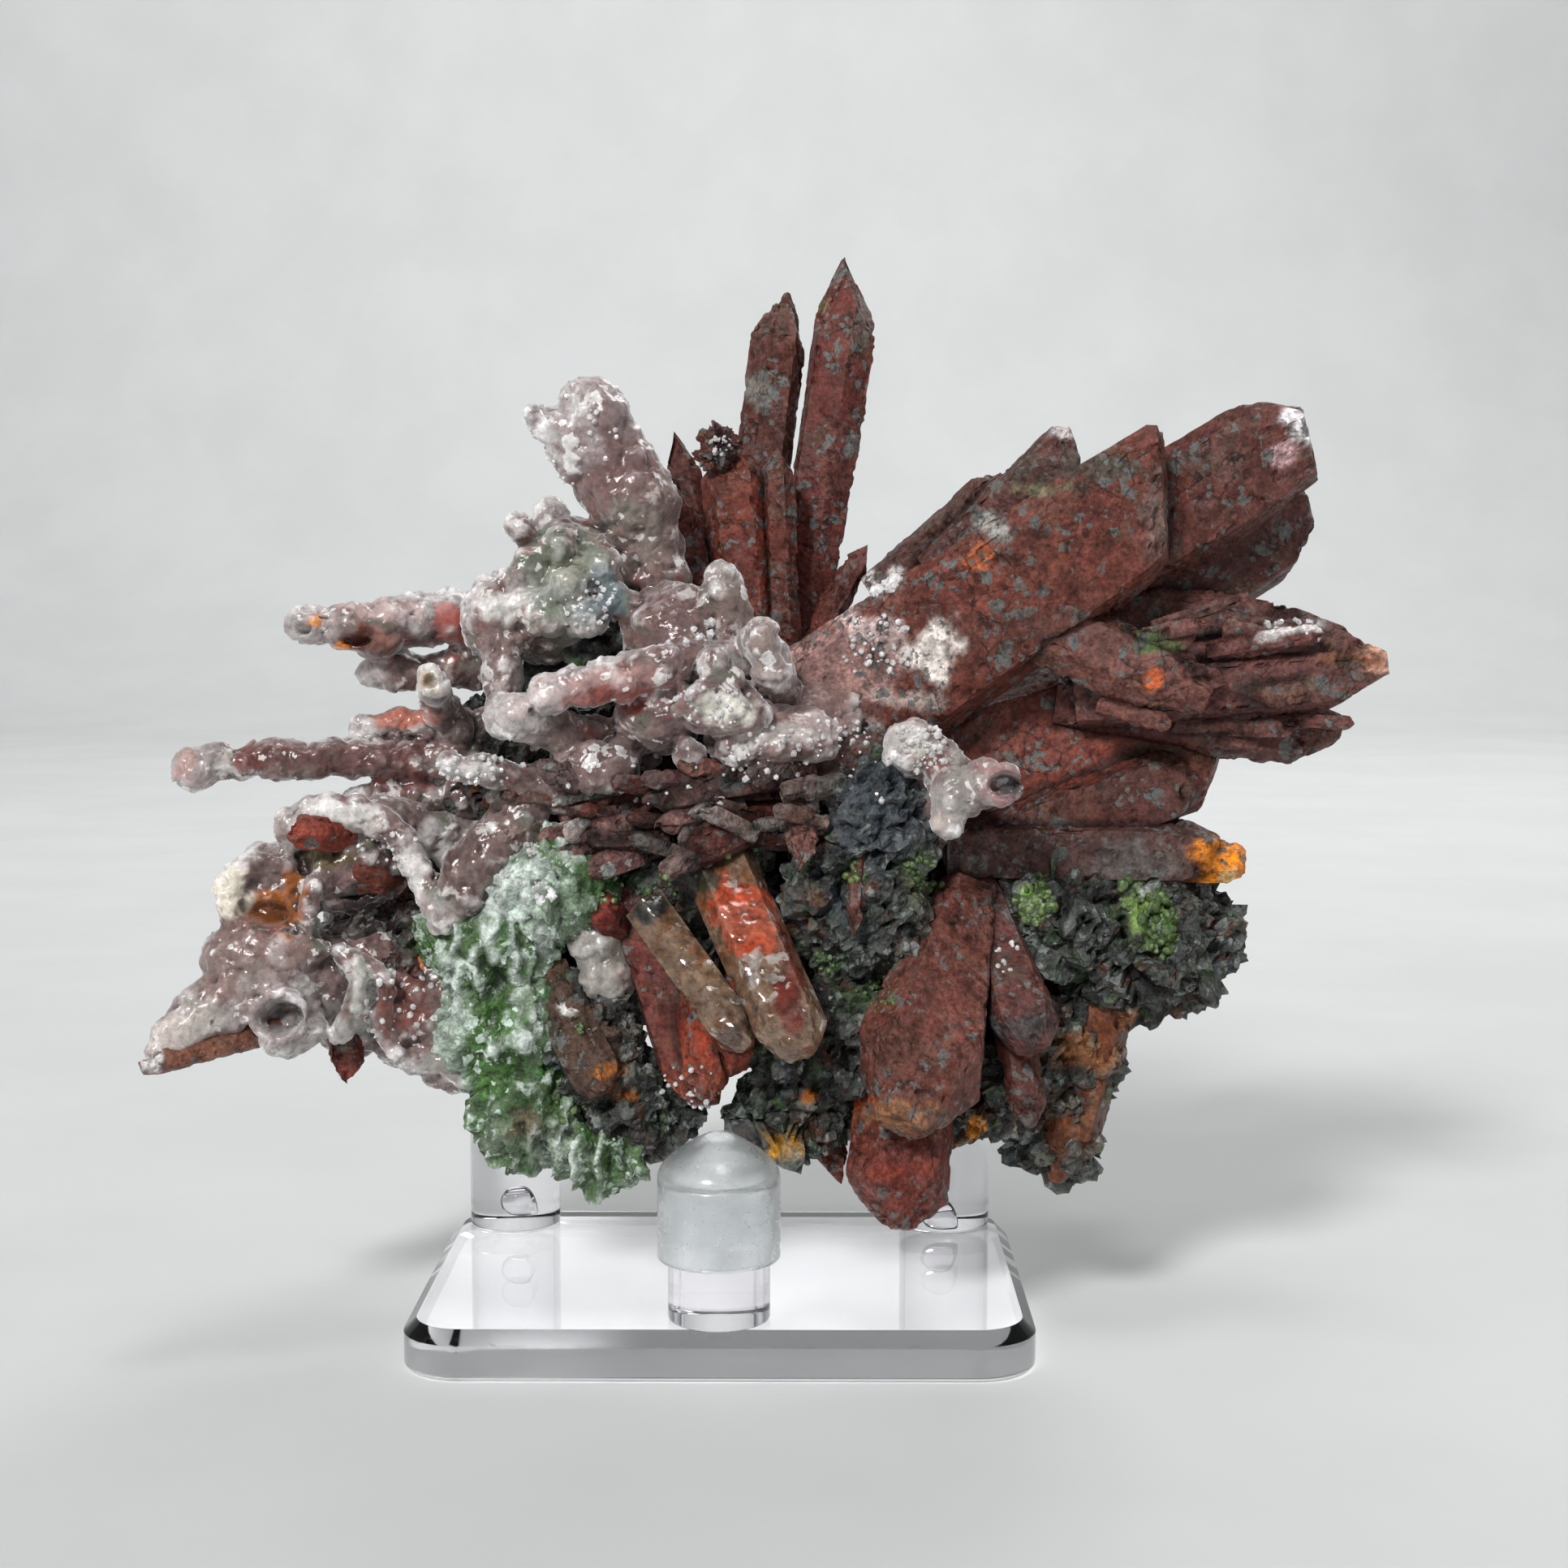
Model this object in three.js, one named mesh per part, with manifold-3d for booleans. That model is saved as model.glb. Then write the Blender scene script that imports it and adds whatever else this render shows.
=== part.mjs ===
// A red quartz cluster on its clear acrylic display stand.
//
// Millimetres, +Z up. The origin is the middle of the stand plate's underside, +X runs along the
// plate's long side and +Y away from the viewer. The cluster is one grown-together body: hexagonal
// crystals, rod-like chalcedony fingers and rough matrix, joined into one solid. It rests on three
// pegs of the stand, the front one under a soft silicone cap.

import * as THREE from 'three';
import { ConvexGeometry } from 'three/addons/geometries/ConvexGeometry.js';
import { mergeVertices } from 'three/addons/utils/BufferGeometryUtils.js';
import Module from 'manifold-3d';

// ---------------------------------------------------------------- driving dimensions

const PLATE = { long: 62, deep: 45, high: 5, corner: 6, edge: 0.8 };
const PEG_RADIUS = 5;
const PEG_EDGE = 0.5;
const FRONT_PEG = { x: 0, y: -17.5, top: 18.7 };
const REAR_PEG = { x: 24, y: 17, top: 33 };
const REAR_LEFT_PEG = { ...REAR_PEG, x: -REAR_PEG.x };
const CAP = { radius: 6, low: 11.1, shoulder: 19.4, top: 23.6, lip: 0.6 };
const DOME = [[0.93, 0.22], [0.7, 0.52], [0.34, 0.84]]; // in cap radii, and in its rise
const ROUNDING = 0.3; // where a rounded edge's middle lies, as a share of its size
const CLEARANCE = 0.3; // between pieces that touch
const ROUND_SIDES = 14;
const CORNER_STEPS = 3; // faces round each corner of the plate
const MERGE_DISTANCE = 1e-4;
const SLIVER = 0.12; // no face of the cluster moves by more when its thinnest ones are merged

const CRYSTAL_SIDES = 6;
const PAIRS_OF_FACES = CRYSTAL_SIDES / 2;
const FACE_TURN = 360 / CRYSTAL_SIDES; // degrees from one side face to the next
const QUARTER_TURN = 90;
const SHOULDER_STAGGER = 0.22; // how far a crystal's three big end faces reach below the others
const LUMP_ROUGHNESS = 0.14;
const CORE_LUMP = 12; // from this half size up a lump has more faces
const FIRST_SEED = 101;
const SEED_STEP = 37; // from one lump's random numbers to the next
const RANDOM_STEP = 16807; // each random number is the one before it times this, within the limit
const RANDOM_LIMIT = 2147483647;
const FINGER_SIDES = 6;
const TIP_RING_REACH = 0.65; // a finger's last ring, past its last knot, in radii
const TIP_RING_SHARE = 0.72; // and how wide that ring is

const COLOURS = { stone: 0x6e4038, acrylic: 0xf2f4f8, silicone: 0xdfe4e0 };

// ---------------------------------------------------------------- where everything grows
//
// A crystal runs from its root to its tip. wide and thick are its size across and front to back,
// point the length of its end faces, spin its turn about its own axis, taper its width at the root
// over its width at the shoulder, blunt the size of the flat left at its tip, lean how far the tip is
// off the axis, slope how much further one edge of its end reaches than the other, and faces the
// relative distances of its three pairs of side faces.

const CRYSTALS = [
  // the upright red spires
  { root: [6.5, 7, 64], tip: [14, 13, 111], wide: 7, thick: 6, point: 7.5, spin: 20, taper: 0.8,
    lean: -1.6 },
  { root: [1, 8, 64], tip: [6, 12, 106], wide: 6, thick: 5.5, point: 4, spin: -8, blunt: 0.3 },
  { root: [5.5, 12, 90], tip: [6.5, 14, 107.5], wide: 3, thick: 3, point: 2.5, spin: 10, blunt: 0.2 },
  { root: [6.5, 1, 66], tip: [5.5, 3, 90.5], wide: 3.5, thick: 4, point: 2.5, spin: 12 },
  { root: [3, 2, 66], tip: [1, 5, 89.5], wide: 7.5, thick: 6, point: 2.5, spin: 5, blunt: 0.5 },
  { root: [0, 6.5, 72], tip: [-5.5, 9, 92.5], wide: 3.5, thick: 2.5, point: 4, spin: 15, taper: 0.7 },
  { root: [-0.5, 2, 66], tip: [-5, 4, 86.5], wide: 4, thick: 4, point: 3.5 },
  { root: [8, 3, 68], tip: [15, 5, 80.5], wide: 3, thick: 2, point: 2.5 },
  // the broad crystal that points up to the right, and those in line with it and behind it
  { root: [9, -3, 61.5], tip: [43, -14, 85], wide: 13.5, thick: 9, point: 2, spin: -12, taper: 1.3,
    blunt: 0.86, slope: 0.6, faces: [0.5, 1, 0.8] },
  { root: [30, -3, 75], tip: [57, -11, 90.8], wide: 12, thick: 8, point: 6.5, spin: -8, blunt: 0.6, lean: 0.9,
    slope: 0.3, faces: [0.55, 1, 0.85] },
  { root: [15.8, 4, 75], tip: [29.2, 3, 87.2], wide: 5, thick: 5, point: 3, blunt: 0.3, lean: -0.5,
    faces: [0.7, 1, 1] },
  { root: [21.6, 2, 77], tip: [35.8, -1, 90.4], wide: 6.5, thick: 6, point: 2.5, spin: 8, blunt: 0.6,
    slope: 0.45, faces: [0.7, 1, 1] },
  { root: [40, 0, 70], tip: [59.5, -3, 83.5], wide: 8.5, thick: 7, point: 4, spin: -10, blunt: 0.45,
    lean: -0.5, slope: 0.3, faces: [0.6, 1, 0.8] },
  // the fan of blades on the right
  { root: [38, -2, 74], tip: [62, -8, 70.3], wide: 6.5, thick: 5, point: 8, taper: 1.2, blunt: 0.25,
    lean: -1 },
  { root: [36, -4, 65.5], tip: [65.3, -12, 68.3], wide: 8.3, thick: 6.5, point: 5.5, spin: -10, blunt: 0.3,
    lean: -0.5 },
  { root: [30, -9, 73], tip: [47.5, -13, 65], wide: 7.5, thick: 5, point: 4.5, spin: 10, blunt: 0.4 },
  { root: [34, -2, 64.5], tip: [62, -6, 61], wide: 7, thick: 5.5, point: 4, spin: -6, blunt: 0.4,
    lean: -1 },
  // the broad prisms under them
  { root: [21, 0.5, 54], tip: [48.5, -0.5, 63], wide: 19, thick: 10, point: 4, spin: 6, blunt: 0.5,
    slope: -0.25, faces: [0.5, 1, 1] },
  { root: [23, -3, 47.5], tip: [47, -5, 57], wide: 8.5, thick: 7, point: 3, blunt: 0.6,
    faces: [0.6, 1, 1] },
  { root: [23, -4, 49.5], tip: [50, -7, 49.5], wide: 7.5, thick: 7, point: 5, blunt: 0.5,
    faces: [0.7, 1, 1] },
  { root: [44, -6, 48.7], tip: [52.5, -8, 48.7], wide: 4.6, thick: 4, point: 1.5, spin: 12, blunt: 0.6 },
  // crystals that hang from the underside
  { root: [25, -7, 46], tip: [17.5, -22, 25], wide: 13.5, thick: 10.5, point: 7, spin: 4, taper: 0.45,
    blunt: 0.4, faces: [0.65, 1, 1] },
  { root: [25.5, -5, 47], tip: [30.5, -17, 31.5], wide: 7, thick: 6.5, point: 3, spin: 8, taper: 0.7,
    blunt: 0.5, faces: [0.7, 1, 1] },
  { root: [18.5, -11, 27], tip: [17, -17, 14], wide: 9.5, thick: 8.5, point: 5, spin: 8, taper: 0.9,
    blunt: 0.2 },
  { root: [9, -10, 25], tip: [12, -13, 17], wide: 3.5, thick: 3, point: 3 },
  { root: [29, -11, 33], tip: [30.5, -15, 23.5], wide: 4, thick: 3.5, point: 2.5, blunt: 0.2 },
  { root: [38.5, -2, 35], tip: [34, -6, 15.5], wide: 7, thick: 6.5, point: 5, taper: 1.3, blunt: 0.2 },
  { root: [-17.5, -11, 38], tip: [-11.3, -16, 27], wide: 5.5, thick: 3.5, point: 2.5, spin: -20, blunt: 0.6,
    faces: [0.7, 1, 1] },
  { root: [-9, -9, 46], tip: [-1.6, -15, 25.5], wide: 6.2, thick: 6, point: 3, spin: -12, blunt: 0.5,
    slope: 0.3, faces: [0.7, 1, 1] },
  { root: [-10.5, -11.5, 42.5], tip: [-12, -15.4, 45.6], wide: 4.2, thick: 3, point: 1, blunt: 0.6 },
  { root: [-3.2, -13, 37], tip: [-0.8, -17.5, 26.6], wide: 4.4, thick: 4, point: 2, spin: 20, blunt: 0.4 },
  { root: [1.5, -12, 37], tip: [1, -17, 28.6], wide: 4.6, thick: 4, point: 2, spin: 40 },
  { root: [-0.1, -11.9, 49], tip: [8, -23.5, 32.3], wide: 7, thick: 7, point: 3, spin: 16, blunt: 0.5,
    faces: [0.8, 1, 1] },
  { root: [-7.2, -13.6, 45.1], tip: [3, -22, 32.5], wide: 4.5, thick: 4, point: 2.5, spin: 34, blunt: 0.35 },
  // crystals that lie across the middle
  { root: [8, -12, 57], tip: [8, -18, 49], wide: 3.5, thick: 3, point: 3.5 },
  { root: [13.5, -13, 50], tip: [13, -18, 42.5], wide: 2, thick: 2, point: 3 },
  { root: [16, -9, 60], tip: [-7.5, -15, 55.5], wide: 4, thick: 3.5, point: 3, spin: 10, blunt: 0.2 },
  { root: [1, -9, 55], tip: [-14.5, -15, 51.5], wide: 3.5, thick: 3.5, point: 3 },
  { root: [6, -10, 54], tip: [-4, -17, 50], wide: 4.5, thick: 4, point: 3, blunt: 0.2 },
  // small ones on the left
  { root: [-43, -14, 33], tip: [-55, -21, 30.5], wide: 2.8, thick: 2.8, point: 2, blunt: 0.5 },
  { root: [-38, -8, 35], tip: [-37.5, -11, 26.5], wide: 4, thick: 3.5, point: 3 },
  { root: [-36, -10, 52], tip: [-41.5, -17, 52.5], wide: 3.5, thick: 3.5, point: 2.5, spin: 30,
    blunt: 0.2 },
  { root: [-32, -5, 46], tip: [-35.5, -13, 48.5], wide: 4.5, thick: 4, point: 2.5, blunt: 0.3 },
  // crystals on the back
  { root: [20, 12, 58], tip: [36, 27, 70], wide: 8, thick: 7, point: 4, spin: 10, blunt: 0.3 },
  { root: [2, 12, 56], tip: [-8, 29, 64], wide: 7, thick: 6, point: 5, spin: 15 },
  { root: [30, 12, 44], tip: [46, 27, 42], wide: 9, thick: 8, point: 5, spin: 5, blunt: 0.3 },
  { root: [-14, 10, 48], tip: [-30, 22, 50], wide: 6, thick: 6, point: 4, spin: 20, blunt: 0.2 },
  { root: [8, 14, 46], tip: [12, 33, 40], wide: 8, thick: 7, point: 4, spin: 12, blunt: 0.4 },
  { root: [14, 12, 52], tip: [23, 32, 55], wide: 6, thick: 6, point: 4, spin: 24 },
  { root: [-4, 14, 46], tip: [-12, 31, 41], wide: 6, thick: 6, point: 4, spin: 6, blunt: 0.3 },
  { root: [-22, 10, 42], tip: [-40, 18, 38], wide: 5, thick: 5, point: 3, spin: 12, blunt: 0.2 },
  { root: [0, 8, 64], tip: [-4, 22, 80], wide: 5, thick: 5, point: 4, spin: 15 },
];

// A finger is a chain of round knots, each [x, y, z, radius].
const FINGERS = [
  // the tall fingers above the upper left
  [[-6.5, -1, 71, 4], [-7.5, -2, 79, 4.2], [-9, -3, 85.5, 4.4], [-11.5, -4, 90.5, 4.6],
    [-13.5, -4, 94, 3.4]],
  [[-10, -3, 83, 2.5], [-14, -5, 88.5, 2.8], [-16.5, -6, 91.5, 2.1], [-18.5, -6, 93, 1.4]],
  [[-14.5, -1, 79, 2.5], [-17, -2, 82.5, 1.8], [-17.5, -2, 83.5, 1.6]],
  [[0.5, -8, 69, 2.6], [0.5, -8, 75, 2.4], [0, -7, 77.5, 1.4]],
  [[6, -10, 65, 2.4], [5, -13, 68.5, 2.1], [4, -15, 70.5, 2.3]],
  // the arms that reach out to the left
  [[-18, -2, 72, 3.3], [-27, -4, 72.5, 2.8], [-31.5, -6, 72.5, 2.8], [-35.5, -8, 72, 2.7],
    [-39, -9, 72, 1.8], [-41, -10, 72.5, 2.2]],
  [[-24, -2, 68, 2.2], [-33, -4, 67.5, 2.1], [-35.5, -5, 67.5, 1.6]],
  [[-26, -5, 60.5, 2], [-28, -9, 64.5, 1.8], [-28, -14, 67, 1.7]],
  [[-22, -4, 62, 2], [-32, -6, 62.5, 1.5], [-36, -7, 62, 1.4]],
  [[-14, -3, 59, 2.6], [-24, -5, 59, 2.2], [-31.5, -7, 59, 2], [-39.5, -9, 59, 1.9], [-45.5, -11, 59, 2],
    [-49, -12, 59, 1.9], [-52, -13, 58.5, 2.3]],
  [[-15, -11, 56, 2.4], [-21, -15, 58, 1.6], [-25.5, -18, 59, 1.6]],
  [[-16, -5, 54.5, 2.8], [-27, -6, 55, 2.1], [-34, -7, 55, 1.8], [-37, -7, 55, 1.3]],
  [[-8, -8, 60, 2.7], [-15, -12, 62, 2.2], [-20, -16, 64, 2.3]],
  [[1, -10, 69, 2.9], [-5, -14, 68.5, 2.2], [-11.5, -16, 67, 2.1], [-16, -17, 66, 2]],
  // the pale arms below them
  [[-26, -5, 50, 2.8], [-33, -9, 53, 2.4], [-38.5, -11, 53, 2.1], [-41.5, -12, 53, 2.1]],
  [[-34.5, -7, 39, 3.6], [-41, -11, 38.5, 4], [-45.5, -13, 40, 4.3], [-48.5, -16, 36, 3.4],
    [-52, -18, 33, 2.3], [-54, -19.3, 31.6, 1.2]],
  [[-39, -7, 38, 3.8], [-42, -12, 35, 3.5], [-43, -16, 33.5, 3]],
  [[-19.5, -12, 54, 2.7], [-22.5, -14, 50.5, 3], [-25, -14, 47, 2.7], [-27, -14, 44, 1.6]],
  // the two tubes in front of the broad prism
  [[21, -10, 55.5, 2.7], [24.5, -16, 57, 2.3], [27, -20, 57.5, 2.2]],
  [[22, -12, 59, 2.7], [23, -17, 56.5, 2.5], [22, -18, 54, 1.9]],
];

// A lump is [x, y, z, half its width, half its depth, half its height].
const LUMPS = [
  // the body of the cluster
  [9, 4, 58.5, 15, 15, 10], [34, 4, 42.5, 16, 13, 9.5], [-8, 3, 42, 15, 14, 12], [16, 4, 34, 16, 14, 9.5],
  [-21, 0, 56.5, 12, 10, 8], [-12, 0, 70, 9, 9, 9], [-5, 2, 63, 10, 9, 8], [-32.5, -3, 39, 8, 8, 8],
  // its back, down to the two rear pegs
  [20, 14, 42, 19, 13, 11], [-18, 13, 43, 17, 13, 13], [2, 14, 55, 16, 12, 10], [36, 10, 38, 12, 11, 10],
  // the botryoidal mass at the upper left
  [-15, -4, 77, 6, 6, 6], [-18, -6, 73.5, 6, 6, 5], [-22, -8, 73, 4, 4.5, 4.5], [-21.5, -10, 68, 2, 3, 4.5],
  [-5, -8, 71.5, 5, 5, 5], [0, -15, 64.5, 4.5, 3, 3], [-6, -11, 63.5, 4.5, 4, 4],
  [-12, -12, 58.5, 4.5, 4, 3],
  // the crust on the foot of the broad crystal, and the dark bead on the spires
  [8, -6, 63.5, 7, 5, 5], [5, -12, 61.5, 7, 4, 3.5], [19, -13, 60.5, 3.2, 2.8, 2.8],
  [-0.5, 3, 90.5, 2.3, 2.3, 2.3],
  // the dark middle
  [16, -10, 54, 7.3, 6, 7], [14, -10, 45, 8, 6, 9], [-2, -8, 48, 7.3, 6, 6],
  [12, -10, 31, 7.3, 6, 7.3], [8, -10, 25, 7.3, 6, 5.5], [4, -12, 24, 3.5, 4, 4],
  [6.5, -12, 21.5, 3.5, 3.5, 2.8], [5.5, -13.5, 30.5, 4.2, 3.6, 3.4],
  [26, -8, 25, 5, 5, 5.5],
  // the dark mass at the lower right
  [42, -3, 39.5, 10, 9, 8], [34, -6, 43, 7, 7, 6], [33.5, -3, 27, 7.3, 7, 10], [41.5, -6, 45, 5.5, 5, 4],
  [48, -2, 40.5, 5, 5.5, 7], [34, -3, 20, 5.5, 5, 5],
  // around the hanging slab, and the green curtain beside it
  [-8, -9.5, 24.5, 6.5, 6, 6.5], [-13, -9, 31, 6, 6, 7.5], [-17, -11, 47, 7.3, 6, 6],
  [-23, -10, 42, 7, 6, 7.3],
  [-21.5, -9, 32.5, 7.3, 6, 8], [-19, -9, 24, 6, 6, 7], [-12, -10, 20, 5.5, 5, 4.5],
  [-11.8, -11, 39.5, 3.6, 3, 4.2],
  // the lower left
  [-44.5, -11, 45, 4.6, 4, 6], [-38, -8, 48.5, 7, 5, 5], [-37, -6, 36, 7, 6, 7], [-30, -6, 34, 7, 6, 7.3],
  [-34, -1, 43, 7.3, 5, 7], [-27, -7, 30, 5, 4.5, 5],
];

// ---------------------------------------------------------------- solids

const wasm = await Module();
wasm.setup();

// The geometry with only its positions, each corner shared by the faces round it.
function merged(geometry) {
  const bare = geometry.clone();
  bare.deleteAttribute('normal');
  bare.deleteAttribute('uv');
  return mergeVertices(bare, MERGE_DISTANCE);
}

function toSolid(geometry) {
  const { attributes, index } = merged(geometry);
  const mesh = new wasm.Mesh({
    numProp: 3,
    vertProperties: new Float32Array(attributes.position.array),
    triVerts: new Uint32Array(index.array),
  });
  return new wasm.Manifold(mesh);
}

function toGeometry(solid) {
  const mesh = solid.getMesh();
  const geometry = new THREE.BufferGeometry();
  geometry.setAttribute('position', new THREE.BufferAttribute(mesh.vertProperties, 3));
  geometry.setIndex(new THREE.BufferAttribute(mesh.triVerts, 1));
  return geometry;
}

// The same sequence of numbers from 0 to 1 on every run.
function seeded(seed) {
  let state = seed;
  return () => {
    state = (state * RANDOM_STEP) % RANDOM_LIMIT;
    return state / RANDOM_LIMIT;
  };
}

// ---------------------------------------------------------------- crystals

// What a crystal has where its row doesn't say.
const PLAIN = { spin: 0, taper: 1, blunt: 0, lean: 0, slope: 0, faces: [1, 1, 1] };

// The corners of a six-sided section: where neighbouring side faces meet, widest along u.
function sectionCorners(faces, spin) {
  const corners = [];
  for (let i = 0; i < CRYSTAL_SIDES; i += 1) {
    const a = THREE.MathUtils.degToRad(spin + QUARTER_TURN + FACE_TURN * i);
    const b = a + THREE.MathUtils.degToRad(FACE_TURN);
    const near = faces[i % PAIRS_OF_FACES];
    const next = faces[(i + 1) % PAIRS_OF_FACES];
    const scale = 1 / Math.sin(b - a);
    const x = (near * Math.sin(b) - next * Math.sin(a)) * scale;
    const y = (next * Math.cos(a) - near * Math.cos(b)) * scale;
    corners.push(new THREE.Vector2(x, y));
  }
  return corners;
}

function crystal(row) {
  const { root, tip, wide, thick, point, spin, taper, blunt, lean, slope, faces } = { ...PLAIN, ...row };
  const start = new THREE.Vector3(...root);
  const end = new THREE.Vector3(...tip);
  const axis = end.clone().sub(start);
  const length = axis.length();
  axis.normalize();
  const toViewer = new THREE.Vector3(0, -1, 0);
  const front = toViewer.addScaledVector(axis, -toViewer.dot(axis)).normalize();
  const side = new THREE.Vector3().crossVectors(axis, front);

  const corners = sectionCorners(faces, spin);
  const reachU = Math.max(...corners.map((c) => Math.abs(c.x)));
  const reachV = Math.max(...corners.map((c) => Math.abs(c.y)));
  const ring = (along, scale, shift, stagger, slant) => corners.map((c, i) => {
    const across = (c.x / reachU) * (wide / 2) * scale;
    return start.clone()
      .addScaledVector(axis, along + (i % 2 ? stagger : -stagger) - slant * across)
      .addScaledVector(side, across + shift)
      .addScaledVector(front, (c.y / reachV) * (thick / 2) * scale);
  });

  const points = [
    ...ring(0, taper, 0, 0, 0),
    ...ring(length - point, 1, 0, point * SHOULDER_STAGGER, slope),
  ];
  if (blunt > 0) points.push(...ring(length, blunt, lean, 0, slope));
  else points.push(end.clone().addScaledVector(side, lean));
  return toSolid(new ConvexGeometry(points));
}

// ---------------------------------------------------------------- fingers and lumps

// A finger is one round-ended tube through its knots: a sphere whose rings are moved to them.
function finger(knots) {
  const centres = knots.map(([x, y, z]) => new THREE.Vector3(x, y, z));
  const radii = knots.map((knot) => knot[3]);
  const tipRadius = radii[radii.length - 1];
  const heading = centres[centres.length - 1].clone().sub(centres[centres.length - 2]).normalize();
  centres.push(centres[centres.length - 1].clone().addScaledVector(heading, tipRadius * TIP_RING_REACH));
  radii.push(tipRadius * TIP_RING_SHARE);

  const rings = centres.length;
  const geometry = merged(new THREE.SphereGeometry(1, FINGER_SIDES, rings + 1));
  const position = geometry.attributes.position;
  for (let i = 0; i < position.count; i += 1) {
    const polar = Math.acos(THREE.MathUtils.clamp(position.getY(i), -1, 1));
    const row = Math.round((polar / Math.PI) * (rings + 1));
    const at = THREE.MathUtils.clamp(row - 1, 0, rings - 1);
    const before = centres[Math.max(at - 1, 0)];
    const after = centres[Math.min(at + 1, rings - 1)];
    const along = after.clone().sub(before).normalize();
    const point = centres[at].clone();
    if (row === 0) {
      point.addScaledVector(along, -radii[0] * (1 - TIP_RING_REACH));
    } else if (row === rings + 1) {
      point.addScaledVector(along, tipRadius * (1 - TIP_RING_REACH));
    } else {
      const up = new THREE.Vector3(0, -1, 0);
      up.addScaledVector(along, -up.dot(along)).normalize();
      const side = new THREE.Vector3().crossVectors(along, up);
      const angle = Math.atan2(position.getZ(i), position.getX(i));
      point.addScaledVector(side, Math.cos(angle) * radii[at]);
      point.addScaledVector(up, -Math.sin(angle) * radii[at]);
    }
    position.setXYZ(i, point.x, point.y, point.z);
  }
  return toSolid(geometry);
}

function lump([x, y, z, halfWide, halfDeep, halfHigh], index) {
  const random = seeded(FIRST_SEED + index * SEED_STEP);
  const detail = Math.max(halfWide, halfHigh) > CORE_LUMP ? 1 : 0;
  const geometry = merged(new THREE.IcosahedronGeometry(1, detail));
  const position = geometry.attributes.position;
  for (let i = 0; i < position.count; i += 1) {
    const reach = 1 + (random() - 0.5) * 2 * LUMP_ROUGHNESS;
    position.setXYZ(i, position.getX(i) * reach, position.getY(i) * reach, position.getZ(i) * reach);
  }
  geometry.rotateY(random() * Math.PI);
  geometry.scale(halfWide, halfDeep, halfHigh);
  geometry.translate(x, y, z);
  return toSolid(geometry);
}

// ---------------------------------------------------------------- the stand

function roundedRectangle(long, deep, corner) {
  const shape = new THREE.Shape();
  const x = long / 2 - corner;
  const y = deep / 2 - corner;
  shape.absarc(x, y, corner, 0, Math.PI / 2);
  shape.absarc(-x, y, corner, Math.PI / 2, Math.PI);
  shape.absarc(-x, -y, corner, Math.PI, 1.5 * Math.PI);
  shape.absarc(x, -y, corner, 1.5 * Math.PI, 2 * Math.PI);
  return shape;
}

function plateGeometry() {
  const { long, deep, high, corner, edge } = PLATE;
  const outline = roundedRectangle(long - 2 * edge, deep - 2 * edge, corner - edge);
  const geometry = new THREE.ExtrudeGeometry(outline, {
    depth: high - 2 * edge,
    bevelThickness: edge,
    bevelSize: edge,
    bevelSegments: 1,
    curveSegments: CORNER_STEPS,
  });
  return geometry.translate(0, 0, edge);
}

// A profile is turned about a peg's axis and stood up along Z.
function turned(profile, { x, y }, grow = 0) {
  const points = profile.map(([radius, height]) => new THREE.Vector2(radius > 0 ? radius + grow : 0, height));
  const geometry = new THREE.LatheGeometry(points, ROUND_SIDES);
  return geometry.rotateX(Math.PI / 2).translate(x, y, 0);
}

function pegProfile(low, top, grow = 0) {
  return [
    [0, low],
    [PEG_RADIUS, low],
    [PEG_RADIUS, top - PEG_EDGE],
    [PEG_RADIUS - PEG_EDGE * ROUNDING, top - PEG_EDGE * ROUNDING],
    [PEG_RADIUS - PEG_EDGE, top],
    [0, top],
  ].map(([radius, height]) => [radius, height === top ? height + grow : height]);
}

// The cap's outside, from its lower rim up its straight wall and over its pointed dome.
function capOutside(grow = 0) {
  const { radius, low, shoulder, top, lip } = CAP;
  const rise = top - shoulder;
  return [
    [radius - lip, low - grow],
    [radius - lip * ROUNDING, low + lip * ROUNDING - grow],
    [radius, low + lip - grow],
    [radius, shoulder],
    ...DOME.map(([out, up]) => [radius * out, shoulder + rise * up + grow]),
    [0, top + grow],
  ];
}

function capProfile() {
  const bore = PEG_RADIUS + CLEARANCE;
  const roof = FRONT_PEG.top + CLEARANCE;
  return [[0, roof], [bore, roof], [bore, CAP.low], ...capOutside()];
}

// ---------------------------------------------------------------- the whole thing

const stone = new THREE.MeshStandardMaterial({ color: COLOURS.stone, roughness: 0.6, metalness: 0 });
const acrylic = new THREE.MeshStandardMaterial({ color: COLOURS.acrylic, roughness: 0.05, metalness: 0 });
const silicone = new THREE.MeshStandardMaterial({ color: COLOURS.silicone, roughness: 0.45, metalness: 0 });

function clusterGeometry() {
  const grown = wasm.Manifold.union([
    ...CRYSTALS.map(crystal),
    ...FINGERS.map(finger),
    ...LUMPS.map(lump),
  ]);
  const rearSeat = pegProfile(PLATE.high, REAR_PEG.top, CLEARANCE);
  const frontSeat = [[0, CAP.low - CLEARANCE], ...capOutside(CLEARANCE)];
  const seats = wasm.Manifold.union([
    toSolid(turned(rearSeat, REAR_LEFT_PEG, CLEARANCE)),
    toSolid(turned(rearSeat, REAR_PEG, CLEARANCE)),
    toSolid(turned(frontSeat, FRONT_PEG, CLEARANCE)),
  ]);
  // Slivers are merged, and closed pockets are left out: the body is the largest connected solid.
  const bodies = grown.subtract(seats).simplify(SLIVER).decompose();
  return toGeometry(bodies.reduce((best, body) => (body.volume() > best.volume() ? body : best)));
}

const object = new THREE.Group();

function addMesh(name, geometry, material) {
  const mesh = new THREE.Mesh(geometry, material);
  mesh.name = name;
  object.add(mesh);
}

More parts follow.
